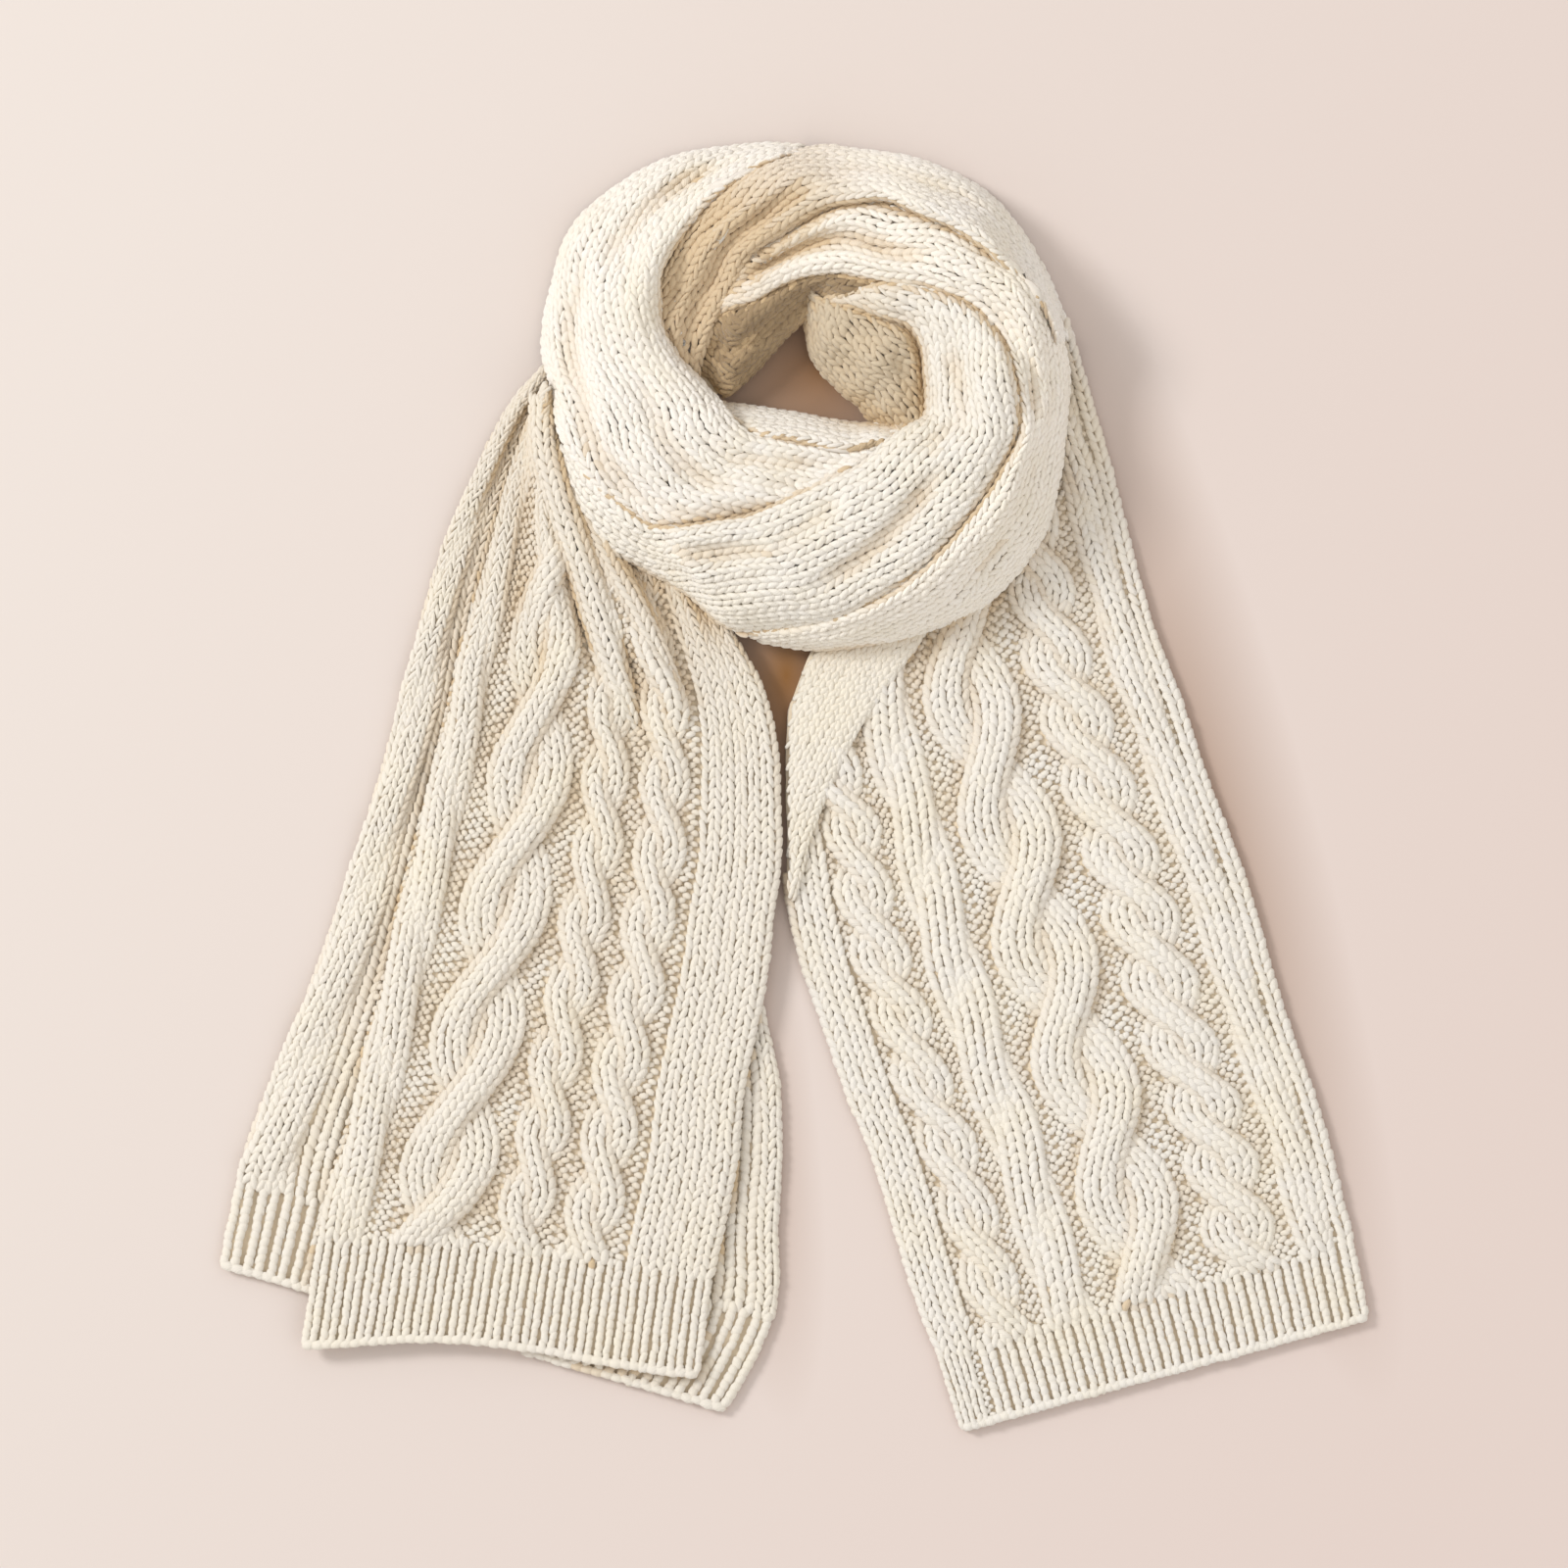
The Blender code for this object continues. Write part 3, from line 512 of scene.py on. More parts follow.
def knit(name, rows, wool, lining_piece, shade):
    """Knit these stitches as one mesh, each a little unlike the next, and give them painted shade in folds, beside
    higher cloth and in the shade of the ring.
    """
    count = len(rows)
    middle, ahead, wide = rows[:, MIDDLE], rows[:, AHEAD], rows[:, WIDE]
    ahead = ahead / (np.linalg.norm(ahead, axis=1, keepdims=True) + 1e-9)
    up = np.cross(ahead, wide)
    up /= np.linalg.norm(up, axis=1, keepdims=True) + 1e-9
    right = np.cross(ahead, up)
    aside, above = chance.normal(0, UNEVEN_SIDE, (count, 1)), chance.normal(0, UNEVEN_UP, (count, 1))
    middle = middle + right * aside + up * above
    middle[:, 2] = np.maximum(middle[:, 2], LOWEST + STEEP_LIFT * (1 - np.abs(up[:, 2])))
    # painted shade on each stitch: from the cloth that closes in over it, from the given shade and from higher cloth
    # beside it
    hollow = closed_in(middle, ahead, right, up, lining_piece) + shade + OVERLOOKED * rows[:, DEEP]
    turn = rows[:, LEAN] * LEG_LEAN * (rows[:, PURL] < 0.5) + chance.normal(0, UNEVEN_LEAN, count)
    turn = turn[:, None]
    ahead, right = ahead * np.cos(turn) + right * np.sin(turn), right * np.cos(turn) - ahead * np.sin(turn)
    least, most = WIDTH_LIMITS
    width = np.clip(np.linalg.norm(wide, axis=1), least * CHAIN, most * CHAIN) * chance.uniform(*WIDTHS, count)
    size = np.column_stack((width, rows[:, LENGTH] * chance.uniform(*LENGTHS, count), np.full(count, CHAIN)))
    roll, pitch = np.arctan2(ahead[:, 2], up[:, 2]), -np.arcsin(np.clip(right[:, 2], -1, 1))
    angles = np.column_stack((roll, pitch, np.arctan2(right[:, 1], right[:, 0])))
    points = bpy.data.meshes.new(name + "_points")
    points.vertices.add(count)
    points.vertices.foreach_set("co", (middle * MM).ravel())
    for label, kind, field, values in (
        ("turn", "FLOAT_VECTOR", "vector", angles.ravel()),
        ("size", "FLOAT_VECTOR", "vector", (size * MM).ravel()),
        ("purl", "BOOLEAN", "value", rows[:, PURL] > 0.5),
        ("shade", "FLOAT", "value", chance.uniform(0, 1, count)),
        ("hollow", "FLOAT", "value", hollow),
    ):
        points.attributes.new(label, kind, "POINT").data.foreach_set(field, values)
    maker = link(name + "_maker", points)
    maker.modifiers.new("stitcher", "NODES").node_group = stitcher_nodes
    graph = bpy.context.evaluated_depsgraph_get()
    mesh = bpy.data.meshes.new_from_object(maker.evaluated_get(graph))
    bpy.data.objects.remove(maker)
    for old in ("turn", "size", "purl"):
        mesh.attributes.remove(mesh.attributes[old])
    mesh.name = name
    mesh.materials.clear()
    mesh.materials.append(wool)
    return link(name, mesh)


def lining(
    name, cloth, bands, wool, columns, rows, fold=None, top=None, sunk=LINING_SUNK, near=LINING_SIDE, far=LINING_SIDE
):
    """The thin cloth that the stitches stand on: a wall under them with the same folds, cables and ribs. It may
    start at a fold in place of its side edge, and at its own place along the cloth in each column."""
    part = np.linspace(0, 1, columns)[:, None]
    drawn_in = LINING_END * (cloth["across"] > 1)
    places = np.linspace(cloth["places"][0] + drawn_in, cloth["places"][-1] - drawn_in, rows)
    mm = cloth["across"] / cloth["width"]
    across = np.maximum(np.minimum(part * cloth["across"], cloth["ends"](places) - far * mm), near * mm)
    if top:
        first = np.interp(part, *zip(*top))
        places = first + (places[-1] - first) * np.linspace(0, 1, rows)
        start = np.where(places < fold[-1][0], column(fold, places, 1), 0)
        across = start + (1 - start) * part
    cloth = dict(cloth, places=places)
    across = np.broadcast_to(across, (columns, rows))
    heights = relief(cloth, bands, across, places) - sunk
    points = raised(cloth, across, heights).transpose(1, 0, 2)
    bm = bmesh.new()
    bmesh.ops.create_grid(bm, x_segments=columns - 1, y_segments=rows - 1, size=1)
    for vert, point in zip(bm.verts, points.reshape(-1, 3)):
        vert.co = Vector(point) * MM
    bmesh.ops.dissolve_degenerate(bm, dist=0.05 * MM, edges=bm.edges)
    bm.normal_update()
    if sum(face.normal.z * face.calc_area() for face in bm.faces) < 0:
        bmesh.ops.reverse_faces(bm, faces=bm.faces)
    mesh = bpy.data.meshes.new(name)
    bm.to_mesh(mesh)
    mesh.shade_smooth()
    mesh.materials.append(wool)
    piece = link(name, mesh)
    wall = piece.modifiers.new("wall", "SOLIDIFY")
    wall.thickness = WALL * MM
    wall.offset = -1
    return piece


def wool(name, light, warm=YARN_WARM, deep=YARN_SHADE_BETWEEN):
    """Soft spun wool: warmer in patches and from stitch to stitch, with painted shade deep in the folds and down
    between the strands, and a fine twist.
    """
    material, shader = matt(name, light)
    tree = material.node_tree
    join = tree.links.new

    def add(kind, **values):
        node = tree.nodes.new("ShaderNode" + kind)
        for socket, value in values.items():
            node.inputs[socket].default_value = value
        return node

    def read(attribute):
        node = add("Attribute")
        node.attribute_name = attribute
        return node

    shader.inputs["Sheen Weight"].default_value = 0.25
    shader.inputs["Sheen Roughness"].default_value = 0.6
    where, split = add("TexCoord"), add("SeparateXYZ")
    place, shade, hollow = read("in_stitch"), read("shade"), read("hollow")
    patches, fibres = add("TexNoise", Scale=22, Detail=4), add("TexNoise", Scale=900, Detail=3)
    twist = add("TexWave", Scale=2.2, Distortion=1.5)
    twist.bands_direction = "DIAGONAL"
    join(where.outputs["Object"], patches.inputs["Vector"])
    join(where.outputs["Object"], fibres.inputs["Vector"])
    join(place.outputs["Vector"], twist.inputs["Vector"])
    join(place.outputs["Vector"], split.inputs[0])

    def spread(value, low, high):
        node = add("MapRange")
        node.inputs["From Min"].default_value, node.inputs["From Max"].default_value = low, high
        join(value, node.inputs["Value"])
        return node.outputs["Result"]

    def mixed(amount, under, over, strength):
        node, less = add("Mix"), add("Math")
        node.data_type = "RGBA"
        less.operation = "MULTIPLY"
        less.inputs[1].default_value = strength
        join(amount, less.inputs[0])
        join(less.outputs[0], node.inputs["Factor"])
        for value, socket in ((under, node.inputs["A"]), (over, node.inputs["B"])):
            if isinstance(value, tuple):
                socket.default_value = (*value, 1)
            else:
                join(value, socket)
        return node.outputs["Result"]

    colour = mixed(spread(patches.outputs["Fac"], *PATCHES), light, warm, PATCH_MIX)
    colour = mixed(shade.outputs["Fac"], colour, warm, STITCH_MIX)
    colour = mixed(fibres.outputs["Fac"], colour, warm, FIBRE_MIX)
    colour = mixed(spread(hollow.outputs["Fac"], *FOLDED), colour, YARN_HOLLOW, FOLD_MIX)
    colour = mixed(spread(split.outputs["Z"], *BETWEEN), colour, deep, BETWEEN_MIX)
    join(colour, shader.inputs["Base Color"])
    bump, fuzz = add("Bump", Strength=0.35, Distance=0.0004), add("Bump", Strength=0.3, Distance=0.0003)
    join(twist.outputs["Fac"], bump.inputs["Height"])
    join(fibres.outputs["Fac"], fuzz.inputs["Height"])
    join(fuzz.outputs["Normal"], bump.inputs["Normal"])
    join(bump.outputs["Normal"], shader.inputs["Normal"])
    return material


def lay_cloth(name, parts, lining_piece, wool_used, shade=None):
    """Knit the stitches over a lining, as one or more pieces, hang them and the lining from the root, and hide the
    solid of this stretch of cloth.
    """
    for part_name, rows in parts:
        piece = knit(part_name, rows, wool_used, lining_piece, shade(rows) if shade else 0)
        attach(piece, "root")
    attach(lining_piece, "root")
    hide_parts(name)


def inside(outline, x, y):
    """Which points lie inside an outline."""
    corners = np.array(outline, float)
    after = np.roll(corners, -1, axis=0)
    crossed = np.zeros(len(x), bool)
    for (ax, ay), (bx, by) in zip(corners, after):
        if ay != by:
            crossed ^= ((ay > y) != (by > y)) & (x < (bx - ax) * (y - ay) / (by - ay) + ax)
    return crossed


def edge_outline(edges, inset):
    """The outline of a tail, seen from above, drawn in by this much at its sides."""
    rows = np.array(edges, float)
    way = rows[:, 2:] - rows[:, :2]
    way *= inset / np.linalg.norm(way, axis=1, keepdims=True)
    return np.concatenate((rows[:, :2] + way, (rows[:, 2:] - way)[::-1]))


chance = np.random.default_rng(7)
corners, sides = [], []
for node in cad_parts.values():
    sides += [[len(corners) + corner for corner in polygon.vertices] for polygon in node.data.polygons]
    corners += [vert.co.copy() for vert in node.data.vertices]
whole_scarf = BVHTree.FromPolygons(corners, sides)
knit_stitch = stitch_shape("knit_stitch", ((0, 0, "y", 0.88, 0, 0.10, 0.53),))
purl_stitch = stitch_shape(
    "purl_stitch", ((0, -0.25, "x", 0.52, -0.09, 0.06, 0.47), (0.5, 0.25, "x", 0.52, 0.09, 0.06, 0.47))
)
stitcher_nodes = stitcher()
cream_wool = wool("cream_wool", YARN_LIGHT)
# a darker copy of the wool with painted shade, for the linings and the ring's hidden layers
shaded_under_wool = wool("shaded_under_wool", YARN_LINING, deep=YARN_LINING)
right_wool = wool("right_wool", RIGHT_YARN)
right = tail_cloth(RIGHT_EDGES, 0, RIGHT_START, HEM_ROW + TAIL_LAP, lift=RIGHT_LIFT)


def shade_along(places, shades):
    """Painted shade that changes along a stretch of cloth, for a table of stitches."""
    return lambda rows: np.interp(rows[:, PLACE], places, shades)


def shown_on_right(rows):
    """Stitches that aren't under the ring or under the turned edge."""
    across, place = rows[:, ACROSS], rows[:, PLACE]
    out = place > np.interp(across, *zip(*RIGHT_TOP)) - TOP_TUCK
    under_turn = (place < TURN[-1][0]) & (across < column(TURN, place, 2) - TURN_COVER)
    fold = np.where(place < TURN[-1][0], column(TURN, place, 1), 0)
    return rows[out & ~under_turn & (across > fold)]


# painted shade on the tails where they come out from under the ring
beside_ring = shade_along((1, 4, 7), (0.12, 0.04, 0))
cables, columns = tail_stitches(right, RIGHT_BANDS)
lay_cloth(
    "right_tail",
    (("right_tail_cables", shown_on_right(cables)), ("right_tail_columns", shown_on_right(columns))),
    lining("right_tail_lining", right, RIGHT_BANDS, shaded_under_wool, *TAIL_GRID, TURN, RIGHT_TOP),
    right_wool,
    shade=beside_ring,
)

# Turned edge of the right tail
# Below the ring the tail's left edge is turned over onto it, so that its wrong side shows: a flat cloth with
# finer stitches than the tail's. It tapers to the side edge.
TURN_RISE = 5.0
TURN_EDGE = 0.45  # thickness at its edges, as a part of the rise
TURN_ABOVE = 0.5  # it lies this far above the tail
TURN_START, TURN_END = 2.9, TURN[-1][0] - 0.05
TURN_CHAIN, TURN_COURSE = 3.5, 4.8
TURN_POINTS, TURN_ROWS = 25, 60
# a darker copy of the same yarn, for how the light falls on the turned edge: painted shade
TURN_YARN = (0.81, 0.76, 0.675)
STEPS_PER_SECTION = 10
END_MARGIN = 0.3  # stitches stop this part of a chain before the far edge


def measured_cloth(section, first, last, facing, yarn=(CHAIN, COURSE)):
    """A stretch of cloth whose ground is given by a function from places to points across it. Distances across
    are in mm from its first point, so that its stitches keep their width where the stretch narrows."""

    def lengths(points):
        steps = np.linalg.norm(np.diff(points, axis=0), axis=-1)
        return np.concatenate((np.zeros((1, points.shape[1])), np.cumsum(steps, axis=0)))

    def ground(across, at):
        points = section(at)
        far = lengths(points)
        across = np.broadcast_to(across, (len(across), len(at)))
        found = np.empty((*across.shape, 3))
        for index in range(len(at)):
            for axis in range(3):
                found[:, index, axis] = np.interp(across[:, index], far[:, index], points[:, index, axis])
        return found

    places = np.linspace(first, last, int((last - first) * STEPS_PER_SECTION) + 2)
    points = section(places)
    ends = lengths(points)[-1]
    middle = points[len(points) // 2]
    run = np.append(0, np.cumsum(np.linalg.norm(np.diff(middle, axis=0), axis=1)))
    return {
        "ground": ground,
        "places": places,
        "along": lambda at: np.interp(at, places, run),
        "length": float(run[-1]),
        "width": float(ends.max()),
        "across": float(ends.max()),
        "ends": lambda at: np.interp(at, places, ends),
        "rise": np.ones_like,
        "area": float((ends[1:] + ends[:-1]) @ np.diff(run) / 2),
        "facing": facing,
        "nudge": 0.4,
        "yarn": yarn,
    }


def all_stitches(cloth, bands=(), purl=False):
    """The stitches of every band and of the ground, where the cloth is as wide as that."""
    found = [stitches_of_band(cloth, band, bands) for band in bands]
    rows = np.concatenate([*found, stitches_of_ground(cloth, bands, purl)])
    return rows[rows[:, ACROSS] < cloth["ends"](rows[:, PLACE]) - END_MARGIN * CHAIN * (cloth["across"] > 1)]


def turn_section(places):
    """Points across the turned edge, from its free edge to the fold."""
    part = np.linspace(0, 1, TURN_POINTS)[:, None]
    fold, free = column(TURN, places, 1), column(TURN, places, 2)
    row = on_curve(RIGHT_EDGES, places)
    wide = free + (fold - free) * part
    x = row[:, 0] + (row[:, 2] - row[:, 0]) * wide
    y = row[:, 1] + (row[:, 3] - row[:, 1]) * wide
    back = np.sqrt(np.clip(1 - (2 * part - 1) ** 2, 0, 1))
    z = CLOTH + TURN_ABOVE + TURN_RISE * (TURN_EDGE + (1 - TURN_EDGE) * back)
    return np.stack(np.broadcast_arrays(x, y, z), -1)


turn = measured_cloth(turn_section, TURN_START, TURN_END, -1, (TURN_CHAIN, TURN_COURSE))
lay_cloth(
    "right_tail_turn",
    (("right_tail_turn_wrong_side", all_stitches(turn)),),
    lining("right_tail_turn_lining", turn, (), shaded_under_wool, round(turn["across"] / TURN_CHAIN) + 1, TURN_ROWS),
    wool("turn_wool", TURN_YARN),
)

# Right hem
# A band of single ribs, one column of plain stitches and one of purl, ends the tail. It is cast off along
# its lower edge with a chain of stitches laid sideways.
RIBS, HEM_ROWS = 22, 12
RIB_LOW = 4.0  # thickness of the cloth between the ribs
RIB_RISE = 1.2
RIB_GAP = 0.06  # at each side of a rib, as a part of its share of the width
RIB_COURSE = 4.6
RIB_LEAN = 0.55  # how much of the usual lean the legs of a rib have
HEM_BANDS = tuple(
    ((rib + RIB_GAP) / RIBS, (rib + 1 - RIB_GAP) / RIBS, "roll", 2, RIB_RISE, 0, 0, 0) for rib in range(RIBS)
)
RIGHT_HEM_BANDS = ((0.0, 0.075, "roll", 5, 1.0, 0, 0, 0), *HEM_BANDS[2:])  # its left edge is one wide roll
HEM_LAP, HEM_END = 0.03, 0.02  # it starts this far above its row and stops this far short of the last
CAST_OFF_END = 0.014  # the part of the width without a chain at each end
CAST_OFF_WIDE, CAST_OFF_SUNK = 1.3, 0.2


def cast_off(cloth):
    """A chain of stitches across the end of a hem."""
    count = round(cloth["width"] / CHAIN)
    across = (CAST_OFF_END + (1 - 2 * CAST_OFF_END) * (np.arange(count) + 0.5) / count)[:, None]
    end = cloth["places"][-1:]
    middle = cloth["ground"](across, end)[:, 0]
    middle[:, 2] -= CAST_OFF_SUNK
    ahead = np.gradient(middle, axis=0)
    wide = (cloth["ground"](across, end) - cloth["ground"](across, end - 0.05))[:, 0]
    wide *= CAST_OFF_WIDE * CHAIN / np.linalg.norm(wide, axis=1, keepdims=True)
    length = np.linalg.norm(ahead, axis=1)
    return np.column_stack((middle, ahead, -wide, across[:, 0], np.full(count, end[0]), length, np.zeros((count, 3))))


def lay_hem(name, edges, bottom, wool_used, bands=HEM_BANDS, bow=0.0, keep=None):
    """Knit a ribbed hem below a tail."""
    last = len(edges) - 1
    hem = tail_cloth(
        edges, bottom, last - 1 - HEM_LAP, last - HEM_END, thick=RIB_LOW, fades=False, bow=bow, course=RIB_COURSE
    )
    rows = all_stitches(hem, bands, purl=True)
    rows[:, LEAN] *= RIB_LEAN
    rows = np.concatenate((rows, cast_off(hem)))
    lay_cloth(
        name,
        ((name + "_ribs", keep(rows) if keep else rows),),
        lining(name + "_lining", hem, bands, shaded_under_wool, 4 * RIBS + 1, HEM_ROWS),
        wool_used,
    )


lay_hem("right_hem", RIGHT_EDGES, 0, right_wool, bands=RIGHT_HEM_BANDS)

# Left tail
# The end that lies on the left, over another panel: a broad cable at its left and two narrow ones in its
# middle. The ring gathers its top into long folds, with two rolls of plain cloth standing over them.
LAYER = 6.1  # height of its underside, on the panel below
LEFT_BOW = 9.0  # how far the hem arches up
LEFT_START = 0.05
LEFT_FLAT = 0.3  # how far the bands are flattened at the ring
# a darker copy of the same yarn, for the light that falls on the left tail: painted shade
LEFT_YARN = (0.785, 0.735, 0.66)
LEFT_EDGES = (
    (-133, 214, -80, 148),
    (-143, 190, -72, 129),
    (-155, 153, -48, 110),
    (-170, 96, -30, 79),
    (-179, 65, -16, 52),
    (-186, 34, -9, 23),
    (-194, 2, -7, -8),
    (-201, -29, -7, -39),
    (-209, -60, -11, -70),
    (-216, -91, -15, -104),
    (-224, -122, -21, -133),
    (-231, -154, -27, -164),
    (-239, -185, -30, -198),
    (-247, -211, -36, -229),
    (-253, -238, -42, -258),
    (-262, -295, -49, -311),
)
LEFT_BANDS = (
    (0.000, 0.120, "pair", 5, 4.4, 78, 60, -1),
    (0.160, 0.405, "rope", 6, 6.0, 70, 14, 1),
    (0.430, 0.568, "twist", 4, 5.0, 38, 12, -1),
    (0.594, 0.742, "twist", 4, 5.0, 38, 12, -1),
    (0.776, 0.888, "roll", 6, 1.8, 0, 0, 0),
    (0.888, 1.000, "roll", 6, 1.8, 0, 0, 0),
)
# part of the width at the top, place of the end, part there, rise, half-width
LEFT_FOLDS = ((0.04, 5.0, 0.50, 18.0, 0.08), (0.335, 5.6, 0.80, 16.0, 0.06), (0.74, 4.0, 0.90, 8.0, 0.055))
ROLL_POINTS = 17
# Rolls of plain cloth that the ring pulls up: x, y, z of the foot, half-width, height
LEFT_ROLLS = (
    (
        (-133, 207, 19, 7, 7),
        (-130, 178, 22, 9, 9),
        (-121, 147, 20, 10, 10),
        (-111, 117, 17, 10, 10),
        (-101, 84, 14, 9.5, 9),
        (-91, 50, 10, 8, 7),
        (-82, 20, 4, 5, 3),
    ),
    (
        (-114, 154, 18, 6, 7),
        (-98, 122, 17, 7, 8),
        (-80, 89, 14, 7.5, 8),
        (-63, 48, 10.5, 7, 6.5),
        (-52, 12, 4, 4.5, 2.5),
    ),
)
# The ring's outline, drawn in: nothing below it shows
RING_COVER = (
    (-100, 180), (-80, 158), (-55, 130), (-28, 104), (0, 92), (40, 94), (70, 104), (95, 122),
    (112, 150), (126, 190), (126, 240), (100, 280), (40, 320), (-40, 318), (-100, 270), (-112, 220),
)


def outside_ring(rows):
    """Stitches that the ring doesn't cover."""
    return rows[~inside(RING_COVER, rows[:, 0], rows[:, 1])]


def roll_of_cloth(line):
    """A roll of plain cloth along a line."""

    def section(places):
        x, y, z, half, high = np.moveaxis(on_curve(line, places), -1, 0)
        ahead = on_curve(line, places + SLOPE_STEP) - on_curve(line, places - SLOPE_STEP)
        far = np.hypot(ahead[:, 0], ahead[:, 1])
        turn = np.linspace(-0.5, 0.5, ROLL_POINTS)[:, None] * np.pi
        x = x - ahead[:, 1] / far * half * np.sin(turn)
        y = y + ahead[:, 0] / far * half * np.sin(turn)
        return np.stack(np.broadcast_arrays(x, y, z + high * np.cos(turn)), -1)

    return measured_cloth(section, 0.0, len(line) - 1.0, 1)


left_wool = wool("left_wool", LEFT_YARN)
left = tail_cloth(
    LEFT_EDGES, LAYER, LEFT_START, HEM_ROW + TAIL_LAP, folds=LEFT_FOLDS, flat_top=LEFT_FLAT, bow=LEFT_BOW
)
cables, columns = tail_stitches(left, LEFT_BANDS)
rolls = np.concatenate([all_stitches(roll_of_cloth(line)) for line in LEFT_ROLLS])
lay_cloth(
    "left_tail",
    (
        ("left_tail_cables", outside_ring(cables)),
        ("left_tail_columns", outside_ring(columns)),
        ("left_tail_rolls", outside_ring(rolls)),
    ),
    lining("left_tail_lining", left, LEFT_BANDS, shaded_under_wool, *TAIL_GRID),
    left_wool,
    shade=beside_ring,
)

# Left hem
# The same ribbed band as on the right, over the end of the panel below.
lay_hem("left_hem", LEFT_EDGES, LAYER, left_wool, bow=LEFT_BOW)

# Under tail and its hem
# The wider panel under the left tail. Only its two side strips show, in plain knitting, and its own ribbed hem.
UNDER_EDGES = (
    (-130, 226, -112, 178),
    (-153, 200, -92, 145),
    (-174, 158, -66, 106),
    (-192, 112, -46, 54),
    (-205, 65, -26, -8),
    (-219, 13, -23, -50),
    (-235, -39, -20, -91),
    (-250, -83, -13, -128),
    (-263, -117, -7, -159),
    (-281, -161, -6, -195),
    (-291, -187, -8, -232),
    (-297, -208, -10, -282),
    (-306, -252, -34, -330),
)
UNDER_BANDS = (
    (0.000, 0.110, "pair", 6, 3.8, 90, 40, 1),
    (0.960, 1.000, "roll", 3, 1.0, 0, 0, 0),
)
HIDDEN_SIDE, HIDDEN_END = 12, 6  # the strips go on this far under the left tail's sides and end
UNDER_GRID = (40, 70)  # columns and rows of its lining


def beside_left_tail(rows):
    """Stitches of the under panel that the left tail doesn't hide."""
    hidden = inside(edge_outline(LEFT_EDGES, HIDDEN_SIDE), rows[:, 0], rows[:, 1] - HIDDEN_END)
    return outside_ring(rows[~hidden])


under = tail_cloth(UNDER_EDGES, 0, LEFT_START, len(UNDER_EDGES) - 2)
lay_cloth(
    "under_tail",
    (("under_tail_strips", beside_left_tail(all_stitches(under, UNDER_BANDS))),),
    lining("under_tail_lining", under, UNDER_BANDS, shaded_under_wool, *UNDER_GRID),
    left_wool,
    shade=beside_ring,
)
lay_hem("under_hem", UNDER_EDGES, 0, left_wool, keep=beside_left_tail)

# Ring
# Above the tails the scarf is wound twice into a thick ring. Each stretch that shows is an arched wall of
# cloth, with its columns of stitches running along it and soft rolls and creases between them.
ARCH_POWER = 2.4
SEAM = -1.2  # the stretches tuck a little under each other
WRAP_SUNK, WRAP_NEAR, WRAP_FAR = 4.2, 2.5, 7.0  # linings lie deeper and stop further inside than the tails'
WRAP_STEP = 4  # mm from one row of a lining to the next
EDGE_RISE = 0.6  # height of the chain along a far edge
SECTION_POINTS = 49
CREASE_FADE = 4  # a crease reaches its full depth after a quarter of its length, at both ends
# How far the cloth swells and sinks between the creases, and its two slow waves: along, across, start
SWELL, SWELL_WAVES = 1.6, ((1.9, 7, 0), (0.8, -11, 1))
FULL_CROWN = 8  # mm; a flatter stretch has shallower creases
# outer x, outer y, outer z, inner x, inner y, inner z, crown
LEFT_WRAP = (
    (3, 339.5, 3, 1, 335.5, 22, 4),
    (-13, 340.6, 3, -12, 331, 34, 8),
    (-42, 338, 3, -37, 316, 34, 12),
    (-68, 332, 3, -55, 297, 32, 16),
    (-96, 316, 3, -69, 275, 34, 20),
    (-118, 294, 3, -71, 260, 28, 25),
    (-128, 262, 3, -69, 244, 23, 28),
    (-132, 234, 5, -61, 228, 22, 28),
    (-126, 209, 20, -51, 217, 23, 26),
    (-122, 186, 32, -41, 206, 28, 21),
    (-110, 168, 38, -36, 199, 38, 16),
    (-93, 151, 40, -29, 191, 40, 13),
    (-74, 139, 41, -20, 185, 40, 12),
    (-51, 139, 42, -5, 183, 39, 10),
    (-20, 144, 42, 13, 179, 38, 8),
    (8, 155, 42, 30, 177, 38, 6),
    (32, 166, 42, 45, 180, 38, 4),
)
HOLE_LIP = (
    (-47, 209, 10, -36, 197, 32, 5),
    (-37, 204, 8, -27, 191, 34, 6),
    (-23, 202, 6, -18, 186, 36, 12),
    (-5, 199, 5, -4, 185, 37, 13),
    (13, 196, 5, 14, 181, 36, 13),
    (31, 193, 5, 30, 179, 36, 13),
    (45, 193, 5, 43, 182, 36, 12),
    (55, 194, 5, 54, 182, 36, 10),
    (64, 195, 6, 63, 184, 33, 7),
)
TOP_WRAP = (
    (-61, 230, 22, -50, 219, 14, 4),
    (-70, 246, 24, -48, 230, 18, 8),
    (-71, 261, 26, -38, 253, 24, 9),
    (-68, 275, 28, -30, 265, 28, 11),
    (-55, 296, 30, -23, 280, 34, 13),
    (-36, 315, 32, -6, 292, 40, 15),
    (-11, 330, 32, 15, 304, 44, 16),
    (13, 339, 6, 31, 308, 46, 20),
    (36, 337, 4, 49, 309, 47, 22),
    (62, 333, 4, 65, 302, 48, 24),
    (86, 324, 4, 82, 295, 48, 24),
    (107, 310, 4, 99, 284, 48, 22),
    (122, 291, 4, 113, 272, 47, 18),
    (134, 270, 4, 126, 261, 46, 12),
    (141, 253, 4, 135, 247, 44, 6),
    (147, 239, 6, 139, 235, 38, 4),
)
